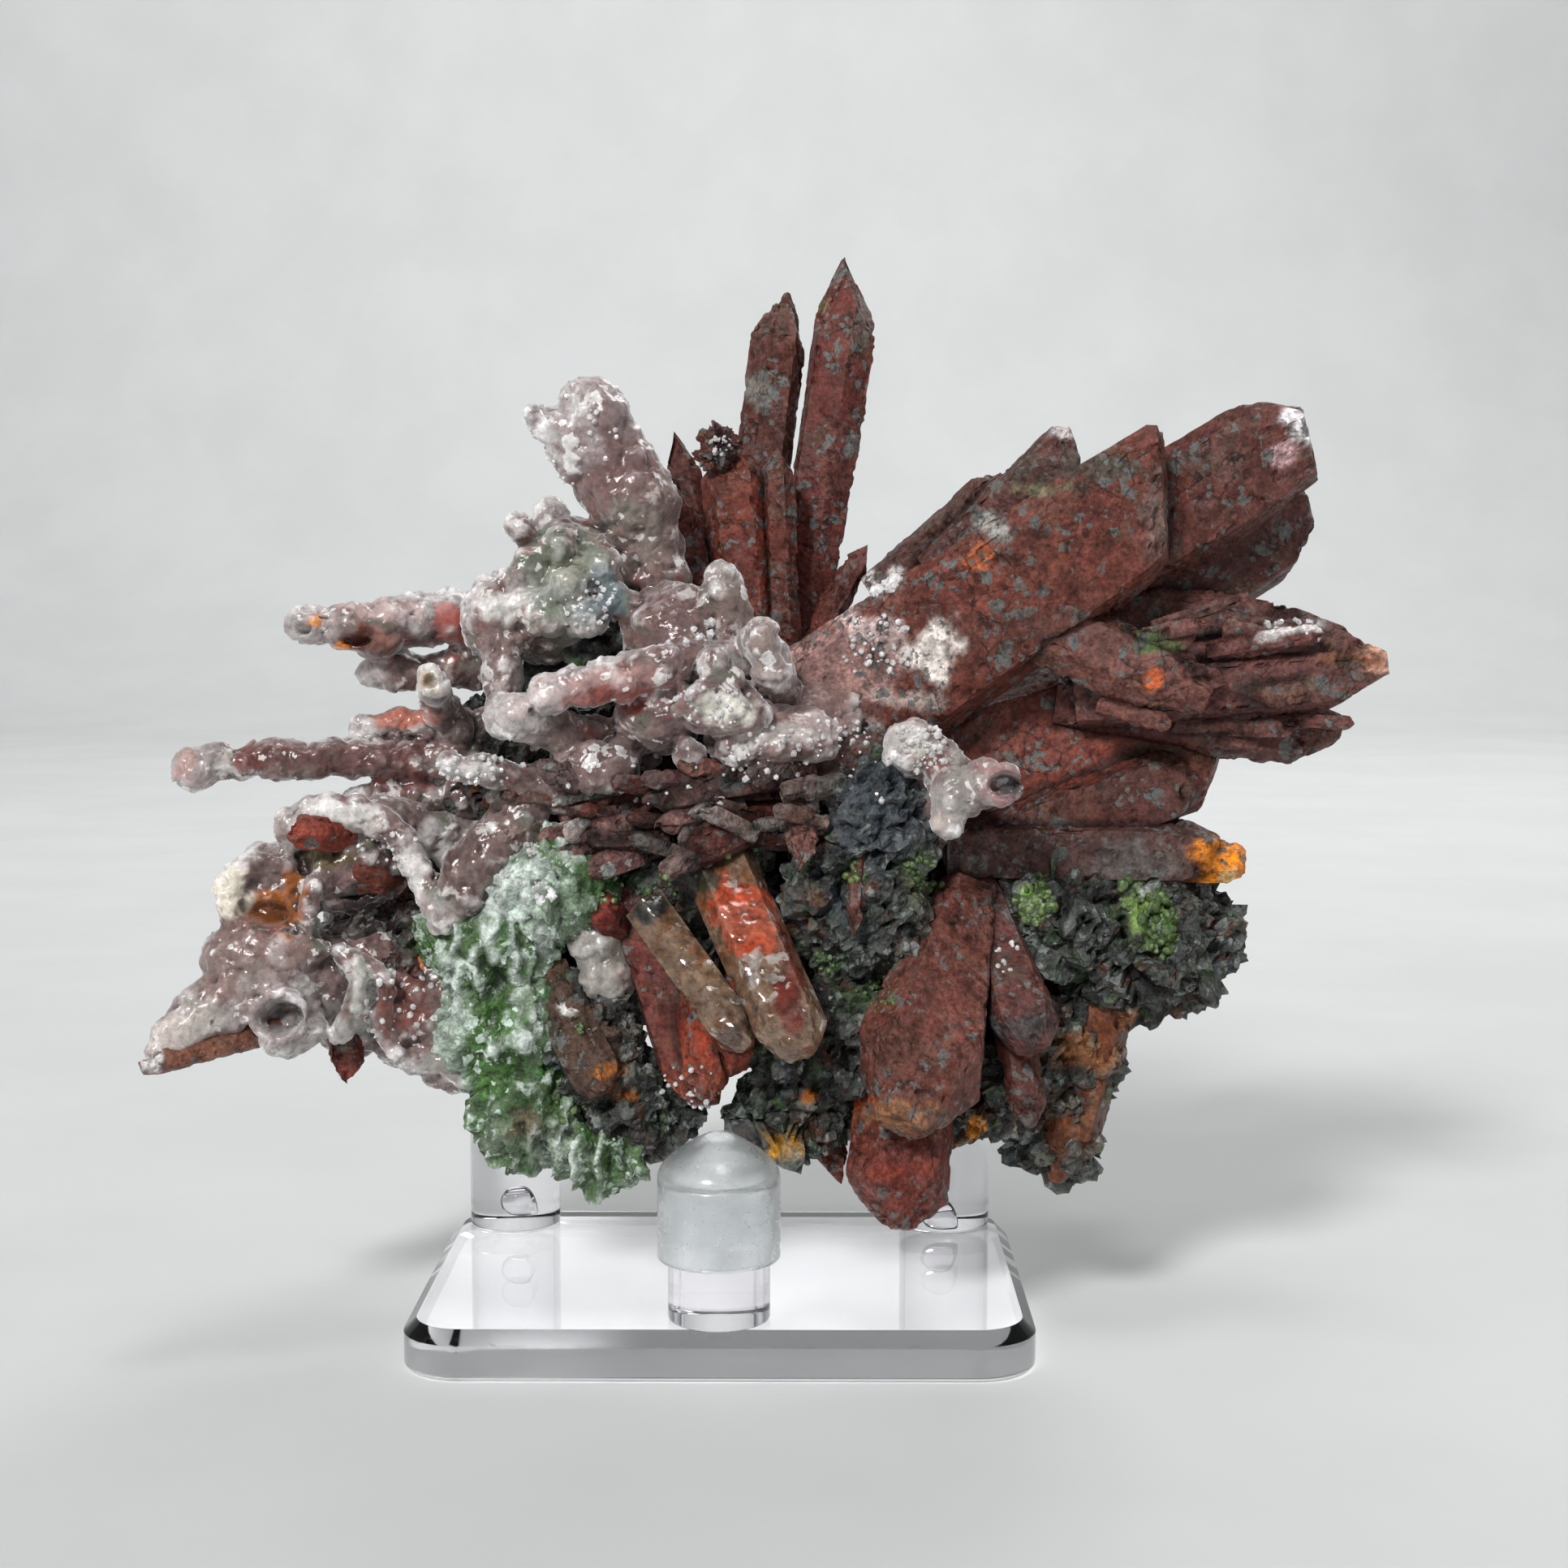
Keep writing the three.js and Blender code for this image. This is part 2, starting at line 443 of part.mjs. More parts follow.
addMesh('quartz_cluster', clusterGeometry(), stone);
addMesh('base_plate', plateGeometry(), acrylic);
addMesh('rear_left_peg', turned(pegProfile(PLATE.high, REAR_PEG.top), REAR_LEFT_PEG), acrylic);
addMesh('rear_right_peg', turned(pegProfile(PLATE.high, REAR_PEG.top), REAR_PEG), acrylic);
addMesh('front_peg', turned(pegProfile(PLATE.high, FRONT_PEG.top), FRONT_PEG), acrylic);
addMesh('front_peg_cap', turned(capProfile(), FRONT_PEG), silicone);

export default object;
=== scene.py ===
"""A red quartz cluster with chalcedony arms on its clear display stand.

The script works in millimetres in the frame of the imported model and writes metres.
"""

import functools
import itertools
import math

import bmesh
import bpy
import numpy as np
from mathutils import Matrix, Vector


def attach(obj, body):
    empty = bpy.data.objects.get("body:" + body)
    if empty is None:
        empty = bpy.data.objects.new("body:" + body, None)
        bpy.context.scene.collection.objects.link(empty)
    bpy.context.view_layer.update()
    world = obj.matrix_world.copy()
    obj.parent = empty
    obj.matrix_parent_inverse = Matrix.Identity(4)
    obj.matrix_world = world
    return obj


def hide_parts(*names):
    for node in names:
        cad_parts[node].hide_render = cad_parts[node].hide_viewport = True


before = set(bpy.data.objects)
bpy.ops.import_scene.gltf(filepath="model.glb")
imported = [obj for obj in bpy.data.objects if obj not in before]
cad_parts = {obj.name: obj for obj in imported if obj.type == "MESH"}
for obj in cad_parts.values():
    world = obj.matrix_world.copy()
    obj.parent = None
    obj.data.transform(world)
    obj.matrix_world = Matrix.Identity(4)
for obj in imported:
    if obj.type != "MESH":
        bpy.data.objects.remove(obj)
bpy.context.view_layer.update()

MM = 0.001
CLUSTER = "quartz_cluster"
BODY = "root"

# ---------------------------------------------------------------- the viewpoint
#
# The camera stands before the stand and looks slightly down and to the left. Places in the view are in
# pixels of a square frame, counted from its left and top edges.

FRAME_SIZE = 1932.0  # the sides of the frame
FOCAL = 2912.0  # the focal length in pixels of the frame
SENSOR = 36.0  # the sensor's width in mm
EYE = np.array([7.8, -242.9, 77.4])
PITCH = math.radians(5.08)
YAW = math.radians(0.374)
AHEAD = np.array([-math.sin(YAW) * math.cos(PITCH), math.cos(YAW) * math.cos(PITCH), -math.sin(PITCH)])
RIGHT = np.array([math.cos(YAW), math.sin(YAW), 0.0])
UP = np.cross(RIGHT, AHEAD)


def in_view(points):
    """Where points are seen in the view: across and down."""
    away = points - EYE
    depth = away @ AHEAD
    across = FRAME_SIZE / 2 + FOCAL * (away @ RIGHT) / depth
    down = FRAME_SIZE / 2 - FOCAL * (away @ UP) / depth
    return across, down


def seen(across, down, y):
    """The point at depth y that is seen at this place of the view."""
    ray = AHEAD + RIGHT * (across - FRAME_SIZE / 2) / FOCAL - UP * (down - FRAME_SIZE / 2) / FOCAL
    return EYE + ray * (y - EYE[1]) / ray[1]


# ---------------------------------------------------------------- repeatable noise

STRIDES = (374761393, 668265263, 1103515245, 974634777)
MIXER = 1274126177
WORD = 0xFFFFFFFF
FRACTION = 0xFFFFFF
FAR = 9.0  # more than the distance to any neighbour
OCTAVE_SHARE = 0.55  # the weight of each size of noise over that of the one before
OCTAVE_SHIFT = 7.3  # keeps the sizes of noise from lining up
ROUGH_GAIN = 1.6  # brings their mean back to about -1 to 1


def hashed(i, j, k, seed):
    """A number from 0 to 1 for each lattice point, the same on every run."""
    h = (i * STRIDES[0] + j * STRIDES[1] + k * STRIDES[2] + seed * STRIDES[3]) & WORD
    h = ((h ^ (h >> 13)) * MIXER) & WORD
    return ((h ^ (h >> 16)) & FRACTION) / FRACTION


def noise(points, size, seed):
    """Smooth noise from -1 to 1 with features of the given size."""
    q = points / size
    cell = np.floor(q).astype(np.int64)
    f = q - cell
    f = f * f * (3 - 2 * f)
    total = np.zeros(len(points))
    for corner in itertools.product((0, 1), repeat=3):
        weight = np.ones(len(points))
        for axis in range(3):
            weight = weight * (f[:, axis] if corner[axis] else 1 - f[:, axis])
        total += weight * hashed(*(cell + corner).T, seed)
    return total * 2 - 1


def rough(points, size, octaves, seed):
    """Noise of several sizes, each half the one before."""
    total = np.zeros(len(points))
    weight = 1.0
    weights = 0.0
    for octave in range(octaves):
        total += weight * noise(points + OCTAVE_SHIFT * octave, size / 2 ** octave, seed + octave)
        weights += weight
        weight *= OCTAVE_SHARE
    return total / weights * ROUGH_GAIN


def grains(points, size, seed):
    """Random cells: distance to the nearest centre and to the second, the cell's number, its slanted face."""
    q = points / size
    cell = np.floor(q).astype(np.int64)
    first = np.full(len(points), FAR)
    second = np.full(len(points), FAR)
    own = np.zeros(len(points))
    slant = np.zeros(len(points))
    for shift in itertools.product((-1, 0, 1), repeat=3):
        c = (cell + shift).T
        away = q - np.stack([c[n] + hashed(*c, seed + n) for n in range(3)], 1)
        d = np.sqrt((away ** 2).sum(1))
        near = d < first
        second = np.where(near, first, np.minimum(second, d))
        own = np.where(near, hashed(*c, seed + 3), own)
        lean = sum(away[:, n] * (hashed(*c, seed + 4 + n) * 2 - 1) for n in range(3))
        slant = np.where(near, lean, slant)
        first = np.where(near, d, first)
    return first, second, own, slant


def ramp(value, low, high):
    """The value's eased share of the way from low to high, from 0 to 1."""
    t = np.clip((value - low) / (high - low), 0, 1)
    return t * t * (3 - 2 * t)


# ---------------------------------------------------------------- mesh tools


def make_mesh(name, verts, faces, scale=MM):
    """A mesh with its points in metres, from points in millimetres unless another scale is given."""
    mesh = bpy.data.meshes.new(name)
    mesh.vertices.add(len(verts))
    mesh.vertices.foreach_set("co", (np.asarray(verts) * scale).ravel())
    mesh.loops.add(faces.size)
    mesh.loops.foreach_set("vertex_index", faces.ravel())
    mesh.polygons.add(len(faces))
    mesh.polygons.foreach_set("loop_start", np.arange(0, faces.size, faces.shape[1]))
    mesh.update(calc_edges=True)
    return mesh


def read_mesh(mesh):
    """Vertices and triangles of a mesh."""
    mesh.calc_loop_triangles()
    verts = np.empty(len(mesh.vertices) * 3)
    mesh.vertices.foreach_get("co", verts)
    faces = np.empty(len(mesh.loop_triangles) * 3, np.int64)
    mesh.loop_triangles.foreach_get("vertices", faces)
    return verts.reshape(-1, 3), faces.reshape(-1, 3)


def joined(parts):
    """Several (verts, faces) as one."""
    verts = np.concatenate([v for v, f in parts])
    starts = np.cumsum([0] + [len(v) for v, f in parts[:-1]])
    faces = np.concatenate([f + s for (v, f), s in zip(parts, starts)])
    return verts, faces


def normals_of(verts, faces):
    """The normal at each vertex, weighted by the areas of its faces."""
    a, b, c = (verts[faces[:, n]] for n in range(3))
    cross = np.cross(b - a, c - a)
    normals = np.zeros_like(verts)
    for axis in range(3):
        for n in range(faces.shape[1]):
            normals[:, axis] += np.bincount(faces[:, n], cross[:, axis], len(verts))
    return normals / np.maximum(np.linalg.norm(normals, axis=1), 1e-9)[:, None]


class Net:
    """The neighbours of each vertex, for averages over the surface."""

    def __init__(self, verts, faces):
        pairs = np.concatenate([faces[:, [0, 1]], faces[:, [1, 2]], faces[:, [2, 0]]])
        self.one = np.concatenate([pairs[:, 0], pairs[:, 1]])
        self.two = np.concatenate([pairs[:, 1], pairs[:, 0]])
        self.size = len(verts)
        self.count = np.maximum(np.bincount(self.one, minlength=self.size), 1)

    def mean(self, values):
        if values.ndim == 1:
            return np.bincount(self.one, values[self.two], self.size) / self.count
        return np.stack([self.mean(values[:, n]) for n in range(values.shape[1])], 1)

    def smooth(self, values, times):
        for _ in range(times):
            values = values + (self.mean(values) - values) * 0.5
        return values


def remeshed(parts, voxel, times):
    """The outside of overlapping closed parts as one even skin."""
    verts, faces = joined(parts)
    mesh = make_mesh("scratch", verts, faces, 1.0)
    thing = bpy.data.objects.new("scratch", mesh)
    bpy.context.scene.collection.objects.link(thing)
    modifier = thing.modifiers.new("skin", "REMESH")
    modifier.mode = "VOXEL"
    modifier.voxel_size = voxel
    held = thing.evaluated_get(bpy.context.evaluated_depsgraph_get())
    verts, faces = read_mesh(held.to_mesh())
    held.to_mesh_clear()
    bpy.data.objects.remove(thing)
    bpy.data.meshes.remove(mesh)
    verts = Net(verts, faces).smooth(verts, times)
    return verts, faces


def hull(points):
    """The convex hull of points, as a bmesh."""
    shape = bmesh.new()
    for point in points:
        shape.verts.new(point)
    bmesh.ops.convex_hull(shape, input=shape.verts)
    return shape


def taken(shape):
    """Vertices and triangles of a bmesh, which is freed."""
    shape.verts.index_update()
    verts = np.array([v.co[:] for v in shape.verts])
    faces = np.array([[v.index for v in f.verts] for f in shape.faces])
    shape.free()
    return verts, faces


@functools.cache
def unit_ball(detail):
    shape = bmesh.new()
    bmesh.ops.create_icosphere(shape, subdivisions=detail, radius=1)
    return taken(shape)


def ball(centre, radii, detail=2):
    """A round blob with its own radius each way."""
    verts, faces = unit_ball(detail)
    return verts * np.asarray(radii) + np.asarray(centre), faces


def unit(rng, count=1):
    """Random directions."""
    ways = rng.normal(0, 1, (count, 3))
    return ways / np.linalg.norm(ways, axis=1)[:, None]


CHUNK_CORNERS = 11


def chunk(centre, radii, rng):
    """A broken block of stone: the hull of a few random corners."""
    ways = unit(rng, CHUNK_CORNERS)
    points = np.asarray(centre) + ways * np.asarray(radii) * rng.uniform(0.85, 1.15, (CHUNK_CORNERS, 1))
    shape = hull(points)
    for loose in [v for v in shape.verts if not v.link_faces]:
        shape.verts.remove(loose)
    return taken(shape)


# ---------------------------------------------------------------- colour


def linear(red, green, blue):
    """A screen colour, 0 to 255, as linear light."""
    values = np.array([red, green, blue]) / 255
    return np.where(values <= 0.04045, values / 12.92, ((values + 0.055) / 1.055) ** 2.4)


WANDER = 10.0  # how far in the view the edge of a patch wanders
WANDER_SIZE = 3.5
TEAR = 0.45  # how ragged the edge is, as a share of the patch's size
TEAR_SIZE = 1.6
PATCH_FADE = 0.45


def elliptic(across, down, zone):
    """How far places in the view are from the middle of a zone, 1 on its edge.

    A zone starts with (across, down, half its width, half its height).
    """
    x, y, wide, high = zone[:4]
    return ((across - x) / wide) ** 2 + ((down - y) / high) ** 2


def paint(verts, normals, tint, strength, patches):
    """Lays patches of colour on what is seen at them: a patch is a zone, its colour and its strength."""
    across, down = in_view(verts)
    across = across + WANDER * rough(verts, WANDER_SIZE, 3, 51)
    down = down + WANDER * rough(verts, WANDER_SIZE, 3, 57)
    torn = TEAR * rough(verts, TEAR_SIZE, 3, 63)
    front = ramp(-normals @ AHEAD, -0.25, 0.15)
    for patch in patches:
        colour, share = patch[4:]
        reach = np.sqrt(elliptic(across, down, patch))
        cover = ramp(1.05 - reach + torn, 0.0, PATCH_FADE) * share ** 0.6 * front
        tint[:] = tint * (1 - cover[:, None]) + linear(*colour) * cover[:, None]
        strength[:] = np.maximum(strength, cover)


def dress(name, verts, faces, material, slot, tint=None, mask=None, node=CLUSTER, smooth=True, crisp=None):
    """Makes a piece of the scene that stands for a node.

    tint is the painted colour and its strength at each point. mask is how far the point is in a hollow, which
    is painted dark as shade, how worn or coated it is or how much rim light is painted on it, how much druse
    it has and its brightness. Edges sharper than crisp, in degrees, stay sharp on a smooth piece.
    """
    mesh = make_mesh(name, verts, faces)
    for layer_name, values in (("tint", tint), ("mask", mask)):
        if values is not None:
            layer = mesh.attributes.new(layer_name, "FLOAT_COLOR", "POINT")
            layer.data.foreach_set("color", np.column_stack(values).ravel())
    mesh.polygons.foreach_set("use_smooth", np.full(len(mesh.polygons), smooth))
    if crisp:
        mesh.set_sharp_from_angle(angle=math.radians(crisp))
    mesh.materials.append(material)
    piece = bpy.data.objects.new(name, mesh)
    bpy.context.scene.collection.objects.link(piece)
    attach(piece, BODY)
    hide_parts(node)
    return piece


# ---------------------------------------------------------------- materials


def add(tree, kind, inputs=None, **settings):
    """A node with its settings, and its inputs either joined to a socket or set to a value."""
    made = tree.nodes.new(kind)
    for name, value in settings.items():
        setattr(made, name, value)
    for name, value in (inputs or {}).items():
        if isinstance(value, bpy.types.NodeSocket):
            tree.links.new(value, made.inputs[name])
        else:
            made.inputs[name].default_value = value
    return made


def mixed(tree, factor, one, two, blend="MIX"):
    """Two colours mixed."""
    made = add(tree, "ShaderNodeMix", {0: factor, 6: one, 7: two}, data_type="RGBA", blend_type=blend)
    return made.outputs[2]


def spread(tree, value, low, high, to_low=0.0, to_high=1.0):
    """The value's share of the way from low to high."""
    inputs = {"Value": value, "From Min": low, "From Max": high, "To Min": to_low, "To Max": to_high}
    return add(tree, "ShaderNodeMapRange", inputs, interpolation_type="SMOOTHSTEP").outputs[0]


def sums(tree, how, one, two):
    return add(tree, "ShaderNodeMath", {0: one, 1: two}, operation=how).outputs[0]


def plus(tree, one, two):
    return sums(tree, "ADD", one, two)


def times(tree, one, two):
    return sums(tree, "MULTIPLY", one, two)


def vectors(tree, how, one, two):
    """Two vectors put together, or one scaled by a number."""
    inputs = {0: one, "Scale" if how == "SCALE" else 1: two}
    return add(tree, "ShaderNodeVectorMath", inputs, operation=how).outputs[0]


def whole(colour):
    return (*linear(*colour), 1.0)


def new_material(name):
    """A material, its nodes, its shader and the place on the object in millimetres."""
    made = bpy.data.materials.new(name)
    made.use_nodes = True
    tree = made.node_tree
    tree.nodes.clear()
    shader = add(tree, "ShaderNodeBsdfPrincipled")
    add(tree, "ShaderNodeOutputMaterial", {"Surface": shader.outputs[0]})
    place = add(tree, "ShaderNodeTexCoord").outputs["Object"]
    return made, tree, shader, vectors(tree, "SCALE", place, 1 / MM)


def clouds(tree, where, size, detail, roughness=0.6, distortion=0.0):
    """Soft noise from 0 to 1 with features of the given size in mm."""
    inputs = {"Vector": where, "Scale": 1 / size, "Detail": detail, "Roughness": roughness,
              "Distortion": distortion}
    return add(tree, "ShaderNodeTexNoise", inputs).outputs[0]


def pebbles(tree, where, size, feature="F1"):
    """The distance to the nearest centre of random cells, or to their edge."""
    made = add(tree, "ShaderNodeTexVoronoi", {"Vector": where, "Scale": 1 / size}, feature=feature)
    return made.outputs["Distance"]


BROAD_SIZE = 6  # the sizes of a stone's mottling, in mm
MIDDLE_SIZE = 1.5
CRACKED = 3.2  # the size of the pieces between cracks
ACCENT_SHIFT = 37.0  # keeps the accents from lying on each other
ACCENT_FADE = 0.07
FLECK_SIZES = (1.2, 2.6)  # over the grain
MILK_DEPTH = 1.2  # how far light runs inside a milky stone, in mm
QUARTZ_IOR = 1.54
ACRYLIC_IOR = 1.49
SILICONE_IOR = 1.41


def mineral(name, dark, light, speck, rim, crevice_and_shade, accents=(), *, grain, specks, gloss, relief, milky=0.0,
            clear=0.0, rim_share=1.0, fleck_spread=0.06, shine=0.5, bloom=0.0, cracks=0.0, pocks=0.75,
            mottled=0.4):
    """Stone with mottled colour, specks, worn or coated rims, dark crevices and fine relief; its hollows are
    painted dark as shade, and on chalcedony its rims are partly painted rim light.

    The colours are those of its darker and lighter parts, its specks, its coated rims, which also serve as
    painted rim light, and its crevices, which also serve as painted shade. An accent is (colour, size of its
    patches, where its noise starts to show). grain is the size of the finest mottling in mm, specks the share
    of cells that are no specks, fleck_spread how much that differs from place to place, gloss the range of
    roughness, relief the height of the fine bumps in mm, rim_share how much of the rims is coated, pocks and
    cracks how dark the pits and cracks are, and mottled how much the brightness differs. milky, clear, shine
    and bloom are the weights of light inside the stone, through it, mirrored by it and scattered at its rims.
    """
    made, tree, shader, at = new_material(name)
    broad = clouds(tree, at, BROAD_SIZE, 5, 0.62, 0.6)
    middle = clouds(tree, at, MIDDLE_SIZE, 6, 0.7)
    fine = clouds(tree, at, grain, 4, 0.7)
    tint = add(tree, "ShaderNodeAttribute", attribute_name="tint")
    mask = add(tree, "ShaderNodeAttribute", attribute_name="mask")
    hollow, wear_and_rim_light, druse = add(tree, "ShaderNodeSeparateColor", {"Color": mask.outputs["Color"]}).outputs

    mottle = plus(tree, times(tree, broad, 0.5), times(tree, middle, 0.5))
    colour = mixed(tree, spread(tree, mottle, 0.38, 0.62), whole(dark), whole(light))
    for number, (accent, size, start) in enumerate(accents):
        moved = vectors(tree, "ADD", at, (ACCENT_SHIFT * (number + 1), 11, 5))
        patch = clouds(tree, moved, size, 6, 0.62, 0.4)
        shown = spread(tree, patch, start, start + ACCENT_FADE, 0.0, 0.8)
        colour = mixed(tree, shown, colour, whole(accent))
    own = mixed(tree, spread(tree, middle, 0.36, 0.64), (*[1 - mottled] * 3, 1), (*[1 + mottled] * 3, 1))
    painted = mixed(tree, 1.0, tint.outputs["Color"], own, "MULTIPLY")
    colour = mixed(tree, tint.outputs["Alpha"], colour, painted)

    wavy = add(tree, "ShaderNodeTexNoise", {"Vector": at, "Scale": 1 / grain, "Detail": 2}).outputs[1]
    wavy = vectors(tree, "ADD", at, vectors(tree, "SCALE", wavy, grain * 1.2))
    for size in FLECK_SIZES:
        cells = add(tree, "ShaderNodeTexVoronoi", {"Vector": wavy, "Scale": 1 / (grain * size)})
        pick = add(tree, "ShaderNodeSeparateColor", {"Color": cells.outputs["Color"]}).outputs[0]
        where = plus(tree, pick, spread(tree, broad, 0.35, 0.65, -fleck_spread, fleck_spread))
        colour = mixed(tree, spread(tree, where, specks, specks + 0.02, 0.0, 0.85), colour, whole(speck))
    uneven = spread(tree, broad, 0.3, 0.7, 0.0, 0.08)
    pits = sums(tree, "SUBTRACT", clouds(tree, at, grain * 2.6, 4, 0.6), uneven)
    colour = mixed(tree, spread(tree, pits, 0.30, 0.36, pocks, 0.0), colour, whole(crevice_and_shade))
    # Rims take the rim colour: wear or coat on crystals and rock, and on chalcedony the milky coat with
    # painted rim light.
    coat_and_rim_light = times(tree, wear_and_rim_light, spread(tree, middle, 0.3, 0.6, 0.35 * rim_share, rim_share))
    colour = mixed(tree, coat_and_rim_light, colour, whole(rim))
    # Painted shade: hollows, clefts, pits, openings and the joints where crystals meet take the crevice
    # colour.
    colour = mixed(tree, times(tree, hollow, 0.9), colour, whole(crevice_and_shade))
    if cracks:
        split = spread(tree, pebbles(tree, wavy, CRACKED, "DISTANCE_TO_EDGE"), 0.0, 0.035, cracks, 0.0)
        colour = mixed(tree, times(tree, split, spread(tree, broad, 0.45, 0.6)), colour, whole(crevice_and_shade))
    shade = spread(tree, fine, 0.3, 0.7, 1 - 0.9 * mottled, 1 + 0.9 * mottled)
    shade = times(tree, shade, mask.outputs["Alpha"])
    shade = add(tree, "ShaderNodeCombineColor", {0: shade, 1: shade, 2: shade}).outputs[0]
    tree.links.new(mixed(tree, 1.0, colour, shade, "MULTIPLY"), shader.inputs["Base Color"])

    rough_share = sums(tree, "SUBTRACT", spread(tree, fine, 0.3, 0.7, *gloss), times(tree, druse, 0.15))
    tree.links.new(rough_share, shader.inputs["Roughness"])
    bumps = plus(tree, fine, times(tree, pebbles(tree, at, grain * 1.4), 0.8))
    bumps = plus(tree, bumps, times(tree, middle, 1.5))
    raised = add(tree, "ShaderNodeBump", {"Height": bumps, "Strength": 1.0, "Distance": relief * MM})
    tree.links.new(raised.outputs[0], shader.inputs["Normal"])
    shader.inputs["Specular IOR Level"].default_value = shine
    if bloom:
        shader.inputs["Sheen Weight"].default_value = bloom
        shader.inputs["Sheen Roughness"].default_value = 0.4
    if milky:
        shader.inputs["Subsurface Weight"].default_value = milky
        shader.inputs["Subsurface Radius"].default_value = (1.0, 0.75, 0.7)
        shader.inputs["Subsurface Scale"].default_value = MILK_DEPTH * MM
    if clear:
        shader.inputs["Transmission Weight"].default_value = clear
        shader.inputs["IOR"].default_value = QUARTZ_IOR
    return made


red_stone = mineral(
    "red_stone", (70, 38, 32), (110, 64, 55), (104, 108, 106), (118, 86, 76), (15, 9, 8),
    [((142, 76, 48), 6, 0.62), ((88, 84, 66), 5, 0.55), ((50, 31, 30), 3, 0.56), ((108, 84, 82), 4, 0.55)],
    grain=0.42, specks=0.93, relief=0.1, gloss=(0.3, 0.6), fleck_spread=0.1, shine=0.18, cracks=0.7,
    pocks=0.6)
pale_stone = mineral(
    "pale_stone", (84, 62, 58), (142, 120, 115), (230, 226, 223), (250, 247, 246), (34, 22, 20),
    [((128, 76, 66), 5, 0.58), ((108, 112, 98), 4, 0.56), ((214, 208, 203), 3.4, 0.56),
     ((76, 50, 48), 3, 0.62)],
    grain=0.5, specks=0.975, relief=0.03, gloss=(0.05, 0.25), milky=0.15, bloom=0.9, pocks=0.25, mottled=0.2)
dark_stone = mineral(
    "dark_stone", (29, 30, 28), (80, 83, 79), (132, 137, 134), (124, 128, 122), (7, 6, 6),
    [((98, 60, 40), 4, 0.56), ((62, 84, 50), 3.4, 0.55), ((62, 74, 84), 5, 0.6), ((72, 38, 30), 2.6, 0.57),
     ((106, 106, 94), 3, 0.58)],
    grain=0.5, specks=0.94, relief=0.22, gloss=(0.2, 0.5), rim_share=0.8, shine=0.35, cracks=0.9)
green_stone = mineral(
    "green_stone", (44, 74, 30), (104, 132, 88), (206, 222, 210), (226, 234, 228), (18, 26, 11),
    [((54, 108, 38), 3, 0.54), ((196, 212, 200), 2.6, 0.57), ((76, 66, 40), 3, 0.62)],
    grain=0.4, specks=0.94, relief=0.12, gloss=(0.12, 0.4), milky=0.1, rim_share=0.85, pocks=0.4)
smoky_stone = mineral(
    "smoky_stone", (112, 78, 48), (172, 140, 112), (220, 212, 204), (206, 188, 172), (44, 26, 16),
    [((170, 100, 50), 3, 0.56)],
    grain=0.8, specks=0.95, relief=0.02, gloss=(0.06, 0.2), clear=0.5, pocks=0.4, shine=0.8)
glitter = mineral(
    "glitter", (204, 200, 198), (240, 238, 238), (255, 255, 255), (255, 255, 255), (180, 170, 168),
    grain=1.2, specks=0.98, relief=0.01, gloss=(0.03, 0.15), clear=0.1, pocks=0.1)
bead_green = mineral(
    "bead_green", (58, 78, 42), (108, 130, 80), (150, 168, 120), (160, 178, 134), (30, 46, 22),
    [((130, 140, 104), 1.5, 0.55), ((68, 106, 44), 1.2, 0.55)],
    grain=0.4, specks=0.94, relief=0.1, gloss=(0.3, 0.6), milky=0.1)


# ---------------------------------------------------------------- crystals

SIDES = 6
SHOULDER_STAGGER = 0.22  # how far the shoulders step up and down, over the point's length
SAME_FACE = 0.9985  # the least cosine between normals that are taken as one face's
LEAST_FACE = 0.02  # the area of the smallest face, in mm2
END_SHARE = 0.6  # the most of its length that a crystal's round end takes in its skin
EDGE_ROUND = 0.05
EDGE_REACH = 0.3  # how far from an edge the skin still counts as part of it
ROOT_DEPTH = 0.3
NO_HIT = 60.0  # farther than any face
CONTACT = 0.8  # how far from another crystal a face is still painted with the contact shade of the joint
CRISP = 28
PLAIN_HUE = (130, 80, 70)
HUE_SHARE = 0.6


def grown(root, tip, wide, thick, point, spin=0, taper=1, blunt=0, lean=0, slope=0, faces=(1, 1, 1)):
    """A six-sided crystal from its root to its tip: see Crystal for what the sizes are."""
    return dict(root=root, tip=tip, wide=wide, thick=thick, point=point, spin=spin, taper=taper,
                blunt=blunt, lean=lean, slope=slope, faces=faces)


